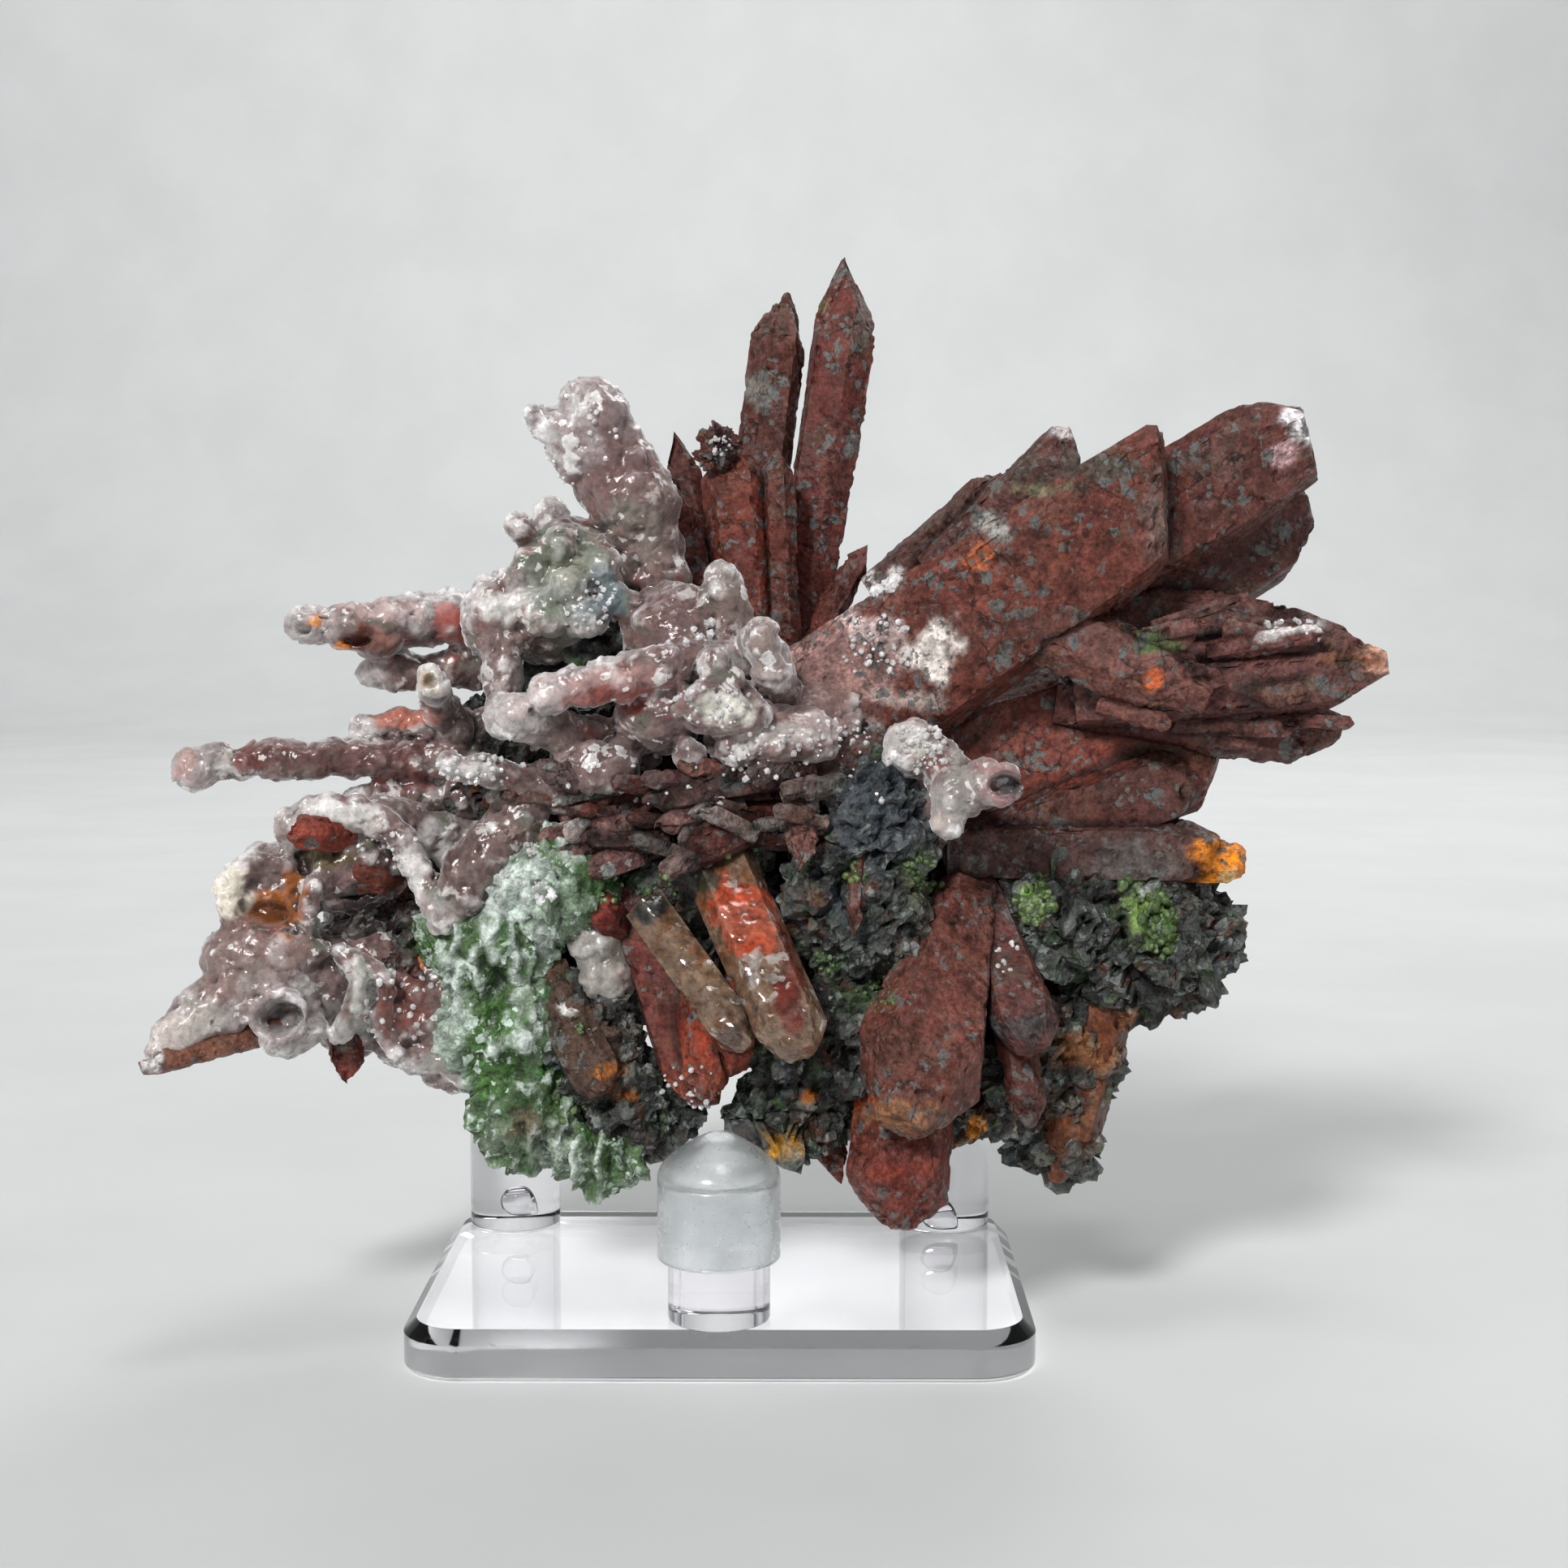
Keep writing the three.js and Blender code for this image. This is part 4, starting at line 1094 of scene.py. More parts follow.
def plate_skin():
    """The plate with round corners, a soft lower edge and a chamfer along the upper one."""
    corner_steps, edge_steps = 12, 7

    def outline(inset, height):
        radius = PLATE["corner"] - inset
        x, y = PLATE["long"] / 2 - PLATE["corner"], PLATE["deep"] / 2 - PLATE["corner"]
        points = []
        for n, (cx, cy) in enumerate([(x, y), (-x, y), (-x, -y), (x, -y)]):
            for t in np.arange(corner_steps + 1) / corner_steps:
                turn = math.pi / 2 * (n + t)
                points.append((cx + radius * math.cos(turn), cy + radius * math.sin(turn), height))
        return np.array(points)

    edge, high = PLATE["edge"], PLATE["high"]
    turns = np.linspace(0, math.pi / 2, edge_steps)
    flat = edge * 1.1
    rings = [outline(flat, SEAM)]
    rings += [outline(edge * (1 - math.sin(t)), SEAM + edge * (1 - math.cos(t))) for t in turns]
    rings += [outline(0, high - CHAMFER), outline(CHAMFER, high), outline(CHAMFER * 1.3, high)]
    return stacked(rings, (0, 0, SEAM), (0, 0, high))


def clear_plastic():
    """Polished acrylic with faint waves and scuffs."""
    made, tree, shader, at = new_material("acrylic")
    scuffs = clouds(tree, at, 2.5, 5, 0.7, 1.5)
    tree.links.new(spread(tree, scuffs, 0.52, 0.75, 0.015, 0.10), shader.inputs["Roughness"])
    shade = spread(tree, clouds(tree, at, 14, 2), 0.3, 0.7)
    tree.links.new(mixed(tree, shade, (0.93, 0.92, 0.95, 1), (0.96, 0.95, 0.97, 1)),
                   shader.inputs["Base Color"])
    shader.inputs["Transmission Weight"].default_value = 1.0
    shader.inputs["IOR"].default_value = ACRYLIC_IOR
    return made


def frosted_rubber():
    """Clear silicone with a fine matt bloom and cloudy streaks."""
    made, tree, shader, at = new_material("silicone")
    cloudy = clouds(tree, at, 3.5, 4)
    shade = spread(tree, cloudy, 0.3, 0.7)
    tree.links.new(mixed(tree, shade, whole((226, 230, 230)), whole((240, 243, 243))),
                   shader.inputs["Base Color"])
    tree.links.new(spread(tree, clouds(tree, at, 0.9, 4), 0.3, 0.7, 0.16, 0.28), shader.inputs["Roughness"])
    shader.inputs["Transmission Weight"].default_value = 0.9
    shader.inputs["IOR"].default_value = SILICONE_IOR
    raised = add(tree, "ShaderNodeBump", {"Height": clouds(tree, at, 1.6, 2), "Distance": 0.02 * MM})
    tree.links.new(raised.outputs[0], shader.inputs["Normal"])
    return made


def clear_piece(name, skin, material, slot, node, crisp=None):
    """A clear piece, which lets light past, so that what stands behind it isn't in the dark."""
    dress(name, *skin, material, slot, node=node, crisp=crisp).visible_shadow = False


def peg_skin(top, place):
    profile = [(0, PEG_FOOT), (PEG_RADIUS, PEG_FOOT), (PEG_RADIUS, top), (0, top)]
    return turned(eased(profile, PEG_EASE), place)


def cap_skin():
    """The cap: a bore for the peg, a straight side and a dome."""
    radius, shoulder, rise = CAP["radius"], CAP["shoulder"], CAP["top"] - CAP["shoulder"]
    bore_top = FRONT_TOP + CLEARANCE
    profile = [(0, bore_top), (BORE, bore_top), (BORE, CAP["low"]), (radius, CAP["low"]), (radius, shoulder)]
    profile += [(radius * out, shoulder + rise * up) for out, up in DOME]
    return turned(eased([*profile, (0, CAP["top"])], CAP_EASE), FRONT_PEG)


def drop_skin(place):
    """A drop of cement with a tail."""
    verts, faces = ball((0, 0, 0), DROP_RADII, 4)
    tail = ramp(verts @ DROP_TAIL, -0.2, 1.9)[:, None]
    return verts * (1 - 0.75 * tail) + tail * DROP_TAIL * 1.9 + seen(*place), faces


acrylic = clear_plastic()
clear_piece("clear_plate", plate_skin(), acrylic, "clear_acrylic", "base_plate", CRISP)
for peg, place in REAR_PEGS.items():
    clear_piece("clear_" + peg, peg_skin(REAR_TOP, place), acrylic, "clear_acrylic", peg, CRISP)
clear_piece("clear_front_peg", peg_skin(FRONT_TOP, FRONT_PEG), acrylic, "clear_acrylic", "front_peg", CRISP)
for side, place in DROPS.items():
    clear_piece("cement_drop_" + side, drop_skin(place), acrylic, "clear_acrylic", f"rear_{side}_peg")
clear_piece("soft_cap", cap_skin(), frosted_rubber(), "silicone", "front_peg_cap")


# ---------------------------------------------------------------- the crystals
#
# A row has a crystal's root and tip, its width and thickness and the length of its point, all in mm.

SPIRES = [
    grown((6.5, 7, 64), (14, 13, 111), 7, 6, 7.5, spin=20, taper=0.8, lean=-1.6),
    grown((1, 8, 64), (6, 12, 106), 6, 5.5, 4, spin=-8, blunt=0.3),
    grown((5.5, 12, 90), (6.5, 14, 107.5), 3, 3, 2.5, spin=10, blunt=0.2),
    grown((6.5, 1, 66), (5.5, 3, 90.5), 3.5, 4, 2.5, spin=12),
    grown((3, 2, 66), (1, 5, 89.5), 7.5, 6, 2.5, spin=5, blunt=0.5),
    grown((0, 6.5, 72), (-5.5, 9, 92.5), 3.5, 2.5, 4, spin=15, taper=0.7),
    grown((-0.5, 2, 66), (-5, 4, 86.5), 4, 4, 3.5),
    grown((8, 3, 68), (15, 5, 80.5), 3, 2, 2.5),
]
BROAD = [
    grown((9, -3, 61.5), (43, -14, 85), 13.5, 9, 2, spin=-12, taper=1.3, blunt=0.86, slope=0.6,
          faces=(0.5, 1, 0.8)),
    grown((30, -3, 75), (57, -11, 90.8), 12, 8, 6.5, spin=-8, blunt=0.6, lean=0.9, slope=0.3,
          faces=(0.55, 1, 0.85)),
    grown((15.8, 4, 75), (29.2, 3, 87.2), 5, 5, 3, blunt=0.3, lean=-0.5, faces=(0.7, 1, 1)),
    grown((21.6, 2, 77), (35.8, -1, 90.4), 6.5, 6, 2.5, spin=8, blunt=0.6, slope=0.45, faces=(0.7, 1, 1)),
    grown((40, 0, 70), (59.5, -3, 83.5), 8.5, 7, 4, spin=-10, blunt=0.45, lean=-0.5, slope=0.3,
          faces=(0.6, 1, 0.8)),
]
FAN = [
    grown((38, -2, 74), (62, -8, 70.3), 6.5, 5, 8, taper=1.2, blunt=0.25, lean=-1),
    grown((36, -4, 65.5), (65.3, -12, 68.3), 8.3, 6.5, 5.5, spin=-10, blunt=0.3, lean=-0.5),
    grown((30, -9, 73), (47.5, -13, 65), 7.5, 5, 4.5, spin=10, blunt=0.4),
    grown((34, -2, 64.5), (62, -6, 61), 7, 5.5, 4, spin=-6, blunt=0.4, lean=-1),
]
FAN += blades(16, (1400, 770, 1540, 900), (-9, -6), (-14, 16), (90, 150), (2, 4.5), 3)
FAN += blades(14, (1350, 770, 1560, 890), (-13, -10), (-22, 18), (90, 170), (1.4, 3.2), 11)
PRISMS = [
    grown((21, 0.5, 54), (48.5, -0.5, 63), 19, 10, 4, spin=6, blunt=0.5, slope=-0.25, faces=(0.5, 1, 1)),
    grown((23, -3, 47.5), (47, -5, 57), 8.5, 7, 3, blunt=0.6, faces=(0.6, 1, 1)),
    grown((23, -4, 49.5), (50, -7, 49.5), 7.5, 7, 5, blunt=0.5, faces=(0.7, 1, 1)),
    grown((44, -6, 48.7), (52.5, -8, 48.7), 4.6, 4, 1.5, spin=12, blunt=0.6),
]
HANGING = [
    grown((25, -7, 46), (17.5, -22, 25), 13.5, 10.5, 7, spin=4, taper=0.45, blunt=0.4, faces=(0.65, 1, 1)),
    grown((25.5, -5, 47), (30.5, -17, 31.5), 7, 6.5, 3, spin=8, taper=0.7, blunt=0.5, faces=(0.7, 1, 1)),
    grown((18.5, -11, 27), (17, -17, 14), 10.6, 8.5, 3.6, spin=8, taper=0.95, blunt=0.3, lean=-0.6),
    grown((9, -10, 25), (12, -13, 17), 3.5, 3, 3),
    grown((29, -11, 33), (30.5, -15, 23.5), 4, 3.5, 2.5, blunt=0.2),
    grown((38.5, -2, 35), (34, -6, 15.5), 7, 6.5, 5, taper=1.3, blunt=0.2),
    grown((-17.5, -11, 38), (-11.3, -16, 27), 5.5, 3.5, 2.5, spin=-20, blunt=0.6, faces=(0.7, 1, 1)),
    grown((-9, -9, 46), (-1.6, -15, 25.5), 6.2, 6, 3, spin=-12, blunt=0.5, slope=0.3, faces=(0.7, 1, 1)),
    grown((-10.5, -11.5, 42.5), (-12, -15.4, 45.6), 4.2, 3, 1, blunt=0.6),
    grown((-3.2, -13, 37), (-0.8, -17.5, 26.6), 4.4, 4, 2, spin=20, blunt=0.4),
    grown((1.5, -12, 37), (1, -17, 28.6), 4.6, 4, 2, spin=40),
]
SMOKY = [
    grown((-0.1, -11.9, 49), (8, -23.5, 32.3), 7, 7, 3, spin=16, blunt=0.5, faces=(0.8, 1, 1)),
    grown((-7.2, -13.6, 45.1), (3, -22, 32.5), 4.5, 4, 2.5, spin=34, blunt=0.35),
]
LYING = [
    grown((8, -12, 57), (8, -18, 49), 3.5, 3, 3.5),
    grown((13.5, -13, 50), (13, -18, 42.5), 2, 2, 3),
    grown((16, -9, 60), (-7.5, -15, 55.5), 4, 3.5, 3, spin=10, blunt=0.2),
    grown((1, -9, 55), (-14.5, -15, 51.5), 3.5, 3.5, 3),
    grown((6, -10, 54), (-4, -17, 50), 4.5, 4, 3, blunt=0.2),
]
SMALL = [
    grown((-43, -14, 33), (-55, -21, 30.5), 2.8, 2.8, 2, blunt=0.5),
    grown((-38, -8, 35), (-37.5, -11, 26.5), 4, 3.5, 3),
    grown((-36, -10, 52), (-41.5, -17, 52.5), 3.5, 3.5, 2.5, spin=30, blunt=0.2),
    grown((-32, -5, 46), (-35.5, -13, 48.5), 4.5, 4, 2.5, blunt=0.3),
]
BACK = [
    grown((20, 12, 58), (36, 27, 70), 8, 7, 4, spin=10, blunt=0.3),
    grown((2, 12, 56), (-8, 29, 64), 7, 6, 5, spin=15),
    grown((30, 12, 44), (46, 27, 42), 9, 8, 5, spin=5, blunt=0.3),
    grown((-14, 10, 48), (-30, 22, 50), 6, 6, 4, spin=20, blunt=0.2),
    grown((8, 14, 46), (12, 33, 40), 8, 7, 4, spin=12, blunt=0.4),
    grown((14, 12, 52), (23, 32, 55), 6, 6, 4, spin=24),
    grown((-4, 14, 46), (-12, 31, 41), 6, 6, 4, spin=6, blunt=0.3),
    grown((-22, 10, 42), (-40, 18, 38), 5, 5, 3, spin=12, blunt=0.2),
    grown((0, 8, 64), (-4, 22, 80), 5, 5, 4, spin=15),
]

LYING += blades(34, (690, 935, 1050, 1040), (-15, -11), (160, 205), (60, 130), (1.4, 3.0), 5)
SHARDS = blades(26, (650, 940, 1055, 1050), (-17, -13), (150, 215), (40, 110), (1.2, 3.2), 15)
# The crystals that cast painted contact shade on each other where they meet.
NEIGHBOURS = SPIRES + BROAD + FAN + PRISMS + HANGING + SMOKY + LYING + SHARDS + SMALL

spires = crystal_group("red_spires", SPIRES, 0.33, red_stone, [
    (936, 484, 26, 22, (122, 122, 116), 0.75), (905, 630, 34, 60, (128, 66, 50), 0.5),
    (1011, 375, 8, 24, (126, 130, 84), 0.7), (1033, 318, 10, 14, (205, 196, 190), 0.8),
    (950, 690, 60, 60, (110, 48, 38), 0.5), (1060, 400, 14, 50, (112, 112, 104), 0.4),
], seed=3, hues=[(104, 50, 44), (88, 50, 42), (70, 44, 40), (112, 60, 48), (118, 52, 38), (80, 42, 38),
                 (100, 46, 38)])
broad = crystal_group("broad_crystals", BROAD, 0.36, red_stone, [
    # The first patch lightens the broad crystal's face as a painted highlight.
    (1300, 720, 130, 60, (134, 72, 58), 0.4), (1250, 800, 110, 50, (112, 66, 58), 0.4),
    (1345, 570, 90, 20, (74, 72, 64), 0.9), (1290, 600, 60, 8, (126, 134, 100), 0.7),
    (1222, 655, 24, 20, (170, 172, 166), 0.9), (1210, 687, 26, 16, (190, 104, 66), 0.9),
    (1045, 815, 100, 80, (168, 132, 126), 0.85), (1150, 800, 36, 44, (255, 244, 236), 0.95),
    (1120, 860, 60, 18, (206, 190, 182), 0.6), (1080, 770, 40, 24, (232, 206, 202), 0.8),
    (1005, 900, 80, 24, (236, 230, 224), 0.9), (1606, 528, 30, 30, (255, 250, 252), 0.95),
    (1580, 560, 26, 18, (226, 184, 186), 0.9), (1425, 640, 24, 60, (138, 116, 108), 0.7),
    (1324, 526, 34, 10, (240, 232, 230), 0.9), (1622, 628, 12, 24, (240, 232, 230), 0.9),
    (1070, 720, 20, 14, (240, 234, 230), 0.9), (1103, 702, 16, 12, (240, 234, 230), 0.9),
    (1460, 690, 30, 12, (134, 76, 54), 0.6), (1500, 560, 50, 30, (118, 92, 86), 0.5),
], seed=23, crust=0.2, hues=[(122, 68, 58), (106, 62, 56), (80, 58, 54), (88, 60, 56), (94, 60, 58)])
fan = crystal_group("fan_of_blades", FAN, 0.33, red_stone, [
    (1360, 790, 50, 40, (118, 80, 72), 0.6), (1415, 790, 30, 16, (104, 136, 74), 0.85),
    (1420, 835, 16, 14, (220, 104, 50), 0.9), (1695, 815, 34, 18, (236, 184, 160), 0.95),
    (1660, 815, 40, 14, (164, 104, 72), 0.7), (1595, 772, 56, 10, (250, 246, 242), 0.9),
    (1480, 880, 60, 20, (112, 66, 62), 0.6),
    (1540, 760, 40, 14, (140, 108, 100), 0.6), (1560, 850, 60, 12, (134, 112, 100), 0.6),
], seed=41, crust=0.1,
    hues=[(112, 76, 72), (122, 80, 76), (130, 86, 78), (104, 62, 60), (96, 60, 56), (136, 92, 86)])
prisms = crystal_group("broad_prisms", PRISMS, 0.36, red_stone, [
    (1300, 930, 110, 60, (126, 60, 46), 0.6), (1440, 925, 60, 30, (112, 82, 56), 0.7),
    (1400, 1062, 66, 32, (98, 92, 88), 0.8), (1340, 990, 80, 30, (104, 58, 48), 0.5),
    (1503, 1052, 40, 36, (255, 150, 28), 1.0), (1520, 1080, 16, 10, (230, 190, 130), 0.8),
], seed=53, crust=0.2, hues=[(126, 70, 60), (92, 60, 56), (82, 64, 61), (244, 142, 30)])
hanging = crystal_group("hanging_crystals", HANGING, 0.36, red_stone, [
    (1190, 1240, 40, 60, (136, 82, 72), 0.5), (1062, 1362, 22, 20, (200, 88, 48), 0.9),
    (1112, 1376, 60, 24, (150, 104, 70), 0.8), (1260, 1262, 46, 32, (66, 66, 68), 0.95),
    (1090, 1438, 40, 26, (156, 68, 50), 0.8), (1140, 1430, 30, 20, (150, 66, 50), 0.6),
    (1120, 1476, 60, 34, (124, 58, 48), 0.6), (1115, 1333, 18, 4, (20, 12, 10), 1.0),
    (752, 1320, 26, 14, (190, 112, 36), 0.95), (772, 1352, 22, 12, (180, 104, 40), 0.95),
    (736, 1125, 30, 24, (150, 54, 42), 0.8), (665, 1285, 30, 64, (66, 64, 50), 0.9),
    (690, 1240, 16, 12, (230, 226, 220), 0.9), (850, 1330, 44, 40, (140, 66, 46), 0.8),
    (800, 1180, 30, 30, (120, 60, 58), 0.6), (1110, 1300, 60, 40, (96, 60, 50), 0.4),
], seed=61,
    hues=[(116, 66, 56), (96, 58, 56), (122, 52, 42), (112, 52, 42), (96, 52, 46), (140, 78, 40),
          (70, 66, 52), (112, 54, 46), (126, 48, 38), (168, 66, 40), (150, 62, 44)])
crystal_group("smoky_crystals", SMOKY, 0.33, smoky_stone, [
    (908, 1124, 60, 60, (226, 92, 50), 1.0), (795, 1112, 34, 30, (46, 48, 44), 1.0),
    (860, 1085, 26, 26, (60, 66, 50), 0.9), (972, 1220, 20, 76, (130, 48, 36), 0.95),
    (840, 1240, 16, 50, (84, 54, 28), 0.8), (925, 1240, 20, 30, (150, 120, 92), 0.6),
    (900, 1275, 30, 14, (70, 44, 26), 0.8),
], slot="clear_quartz", seed=71, crust=0.3, roughness=0.6)
lying = crystal_group("lying_crystals", LYING, 0.3, red_stone, [
    (960, 975, 50, 24, (98, 60, 54), 0.6), (830, 1030, 80, 30, (104, 80, 74), 0.4),
    (1010, 985, 30, 16, (214, 208, 204), 0.6), (720, 985, 60, 16, (124, 62, 56), 0.6),
    (760, 960, 60, 12, (150, 132, 128), 0.6),
], seed=83, crust=0.1, shades=(0.55, 1.45),
    hues=[(120, 78, 72), (100, 56, 50), (100, 82, 78), (144, 108, 104), (112, 54, 48), (74, 52, 50),
          (150, 120, 116)])
shards = crystal_group("matrix_shards", SHARDS, 0.3, dark_stone, [
    (950, 965, 110, 26, (104, 62, 58), 0.5), (700, 1000, 40, 14, (196, 190, 184), 0.7),
    (1010, 1000, 40, 16, (120, 70, 60), 0.7), (780, 1040, 60, 12, (84, 78, 76), 0.7),
    (930, 1035, 60, 12, (150, 140, 134), 0.7),
    (860, 990, 40, 12, (170, 160, 154), 0.7),
], slot="matrix", seed=87, crust=0.3, roughness=0.7, shades=(0.85, 1.5),
    hues=[(150, 122, 116), (122, 70, 66), (176, 158, 150), (128, 92, 88), (96, 88, 82), (112, 54, 52)])
crystal_group("small_crystals", SMALL, 0.3, red_stone, [
    (186, 1312, 20, 20, (238, 234, 232), 0.9), (255, 1300, 44, 22, (146, 96, 76), 0.7),
    (372, 1028, 26, 18, (160, 66, 50), 0.8), (427, 1320, 14, 26, (146, 62, 50), 0.8),
], seed=91, hues=[(150, 100, 80), (110, 50, 44), (150, 66, 52), (120, 58, 46)])
crystal_group("back_crystals", BACK, 0.5, red_stone, [], seed=97)


# ---------------------------------------------------------------- chalcedony arms and crusts
#
# A chain is a path of [x, y, z, radius], and a lump is [x, y, z, radius each way], in mm. A ridge is a path
# of (across, down, depth y, radius), placed where it is seen.

UPPER_CHAINS = [
    [[-6.5, -1, 71, 4], [-7.5, -2, 79, 4.2], [-9, -3, 85.5, 4.4], [-11.5, -4, 90.5, 4.6],
     [-13.5, -4, 94, 3.4]],
    [[-10, -3, 83, 2.5], [-14, -5, 88.5, 2.8], [-16.5, -6, 91.5, 2.1], [-18.5, -6, 93, 1.4]],
    [[-14.5, -1, 79, 2.5], [-17, -2, 82.5, 1.8], [-17.5, -2, 83.5, 1.6]],
    [[0.5, -8, 69, 2.6], [0.5, -8, 75, 2.4], [0, -7, 77.5, 1.4]],
    [[6, -10, 65, 2.4], [5, -13, 68.5, 2.1], [4, -15, 70.5, 2.3]],
    [[1, -10, 69, 2.9], [-5, -14, 68.5, 2.2], [-11.5, -16, 67, 2.1], [-16, -17, 66, 2]],
    [[-8, -8, 60, 2.7], [-15, -12, 62, 2.2], [-20, -16, 64, 2.3]],
]
UPPER_LUMPS = [
    [-15, -4, 77, 6, 6, 6], [-18, -6, 73.5, 6, 6, 5], [-22, -8, 73, 4, 4.5, 4.5], [-21.5, -10, 68, 2, 3, 4.5],
    [-5, -8, 71.5, 5, 5, 5], [0, -15, 64.5, 4.5, 3, 3], [-6, -11, 63.5, 4.5, 4, 4],
    [-12, -12, 58.5, 4.5, 4, 3], [-15.8, -9, 80.2, 2, 1.8, 1.9], [-11.9, -9.5, 78.3, 2.2, 2, 2.1],
    [-18.9, -9, 78.4, 1.9, 1.7, 1.8], [-13.1, -11, 73.1, 2.3, 2.1, 2.2], [-17.1, -11, 73.1, 2.2, 2, 2.1],
    [-14.8, -11.5, 76.4, 2, 1.8, 1.9], [-10.2, -9.5, 74.8, 2, 1.8, 1.9], [-20.7, -10, 76.7, 1.6, 1.4, 1.5],
    [-22.9, -10.5, 75.2, 1.7, 1.5, 1.6], [-20, -7, 82, 1.7, 1.5, 1.6],
]
ARM_CHAINS = [
    [[-18, -2, 72, 3.3], [-27, -4, 72.5, 2.8], [-31.5, -6, 72.5, 2.8], [-35.5, -8, 72, 2.7],
     [-39, -9, 72, 1.8], [-41, -10, 72.5, 2.2]],
    [[-24, -2, 68, 2.2], [-33, -4, 67.5, 2.1], [-35.5, -5, 67.5, 1.6]],
    [[-26, -5, 60.5, 2], [-28, -9, 64.5, 1.8], [-28, -14, 67, 1.7]],
    [[-22, -4, 62, 2], [-32, -6, 62.5, 1.5], [-36, -7, 62, 1.4]],
    [[-14, -3, 59, 2.6], [-24, -5, 59, 2.2], [-31.5, -7, 59, 2], [-39.5, -9, 59, 1.9], [-45.5, -11, 59, 2],
     [-49, -12, 59, 1.9], [-52, -13, 58.5, 2.3]],
    [[-15, -11, 56, 2.4], [-21, -15, 58, 1.6], [-25.5, -18, 59, 1.6]],
    [[-16, -5, 54.5, 2.8], [-27, -6, 55, 2.1], [-34, -7, 55, 1.8], [-37, -7, 55, 1.3]],
]
LOWER_CHAINS = [
    [[-26, -5, 50, 2.8], [-33, -9, 53, 2.4], [-38.5, -11, 53, 2.1], [-41.5, -12, 53, 2.1]],
    [[-34.5, -7, 39, 3.6], [-41, -11, 38.5, 4], [-45.5, -13, 40, 4.3], [-48.5, -16, 36, 3.4],
     [-52, -18, 33, 2.3], [-54, -19.3, 31.6, 1.2]],
    [[-39, -7, 38, 3.8], [-42, -12, 35, 3.5], [-43, -16, 33.5, 3]],
    [[-19.5, -12, 54, 2.7], [-22.5, -14, 50.5, 3], [-25, -14, 47, 2.7], [-27, -14, 44, 1.6]],
]
LOWER_LUMPS = [
    [-44.5, -11, 45, 4.6, 4, 6], [-38, -8, 48.5, 7, 5, 5], [-37, -6, 36, 7, 6, 7], [-30, -6, 34, 7, 6, 7.3],
    [-34, -1, 43, 7.3, 5, 7], [-27, -7, 30, 5, 4.5, 5], [-12.4, -11.6, 41.2, 2.8, 2.4, 2.4],
    [-11.4, -11, 37.8, 3.3, 2.8, 3.4],
]
LOWER_RIDGES = [
    [(352, 1062, -13, 1.4), (300, 1072, -14, 1.5), (277, 1100, -15, 1.3), (288, 1150, -15, 1.2),
     (280, 1200, -16, 1.5), (250, 1250, -17, 1.6), (215, 1292, -18.5, 1.2)],
    [(400, 1060, -12, 1.2), (385, 1100, -14, 1.1), (376, 1150, -14, 1.2), (350, 1185, -15, 1.4),
     (330, 1215, -16, 1.4)],
    [(375, 1165, -14, 1.1), (420, 1175, -14, 1.0), (440, 1200, -15, 1.2), (432, 1240, -15, 1.0),
     (420, 1275, -14, 1.1)],
    [(440, 1180, -14, 1.0), (475, 1215, -13, 1.1), (470, 1260, -13, 1.0), (490, 1300, -12, 1.0),
     (540, 1310, -11, 1.2), (575, 1330, -11, 1.0)],
    [(380, 1000, -12.5, 1.7), (430, 1000, -12.5, 1.7), (480, 1020, -12.5, 1.5), (510, 1060, -12.5, 1.5),
     (530, 1105, -13.5, 1.4), (540, 1140, -14.5, 0.9)],
    [(314, 1250, -17, 0.8), (328, 1227, -17, 0.8), (357, 1227, -17, 0.8), (372, 1250, -16, 0.8),
     (357, 1274, -16, 0.8), (328, 1274, -17, 0.8), (314, 1252, -17, 0.8)],
]
LOWER_CHAINS += [[[*seen(*knot[:3]), knot[3]] for knot in ridge] for ridge in LOWER_RIDGES]
TUBE_CHAINS = [
    [[21, -10, 55.5, 2.7], [24.5, -16, 57, 2.3], [27, -20, 57.5, 2.2]],
    [[22, -12, 59, 2.7], [23, -17, 56.5, 2.5], [22, -18, 54, 1.9]],
]
CRUST_LUMPS = [[8, -6, 63.5, 7, 5, 5], [5, -12, 61.5, 7, 4, 3.5], [19, -13, 60.5, 3.2, 2.8, 2.8]]
CURTAIN_LUMPS = [
    [-17, -11, 47, 7.3, 6, 6], [-23, -10, 42, 7, 6, 7.3], [-21.5, -9, 32.5, 7.3, 6, 8],
    [-19, -9, 24, 6, 6, 7], [-12, -10, 20, 5.5, 5, 4.5],
]
FRONT_LUMPS = [
    [9, 4, 58.5, 15, 15, 10], [34, 4, 42.5, 16, 13, 9.5], [-8, 3, 42, 15, 14, 12], [16, 4, 34, 16, 14, 9.5],
    [-21, 0, 56.5, 12, 10, 8], [-12, 0, 70, 9, 9, 9], [-5, 2, 63, 10, 9, 8], [-32.5, -3, 39, 8, 8, 8],
    [16, -10, 54, 7.3, 6, 7], [14, -10, 45, 8, 6, 9], [-2, -8, 48, 7.3, 6, 6], [12, -10, 31, 7.3, 6, 7.3],
    [8, -10, 25, 7.3, 6, 5.5], [4, -12, 24, 3.5, 4, 4], [6.5, -12, 21.5, 3.5, 3.5, 2.8],
    [5.5, -13.5, 30.5, 4.2, 3.6, 3.4], [26, -8, 25, 5, 5, 5.5],
    [42, -3, 39.5, 10, 9, 8], [34, -6, 43, 7, 7, 6], [33.5, -3, 27, 7.3, 7, 10], [41.5, -6, 45, 5.5, 5, 4],
    [48, -2, 40.5, 5, 5.5, 7], [34, -3, 20, 5.5, 5, 5], [-8, -9.5, 24.5, 6.5, 6, 6.5],
    [-13, -9, 31, 6, 6, 7.5],
]
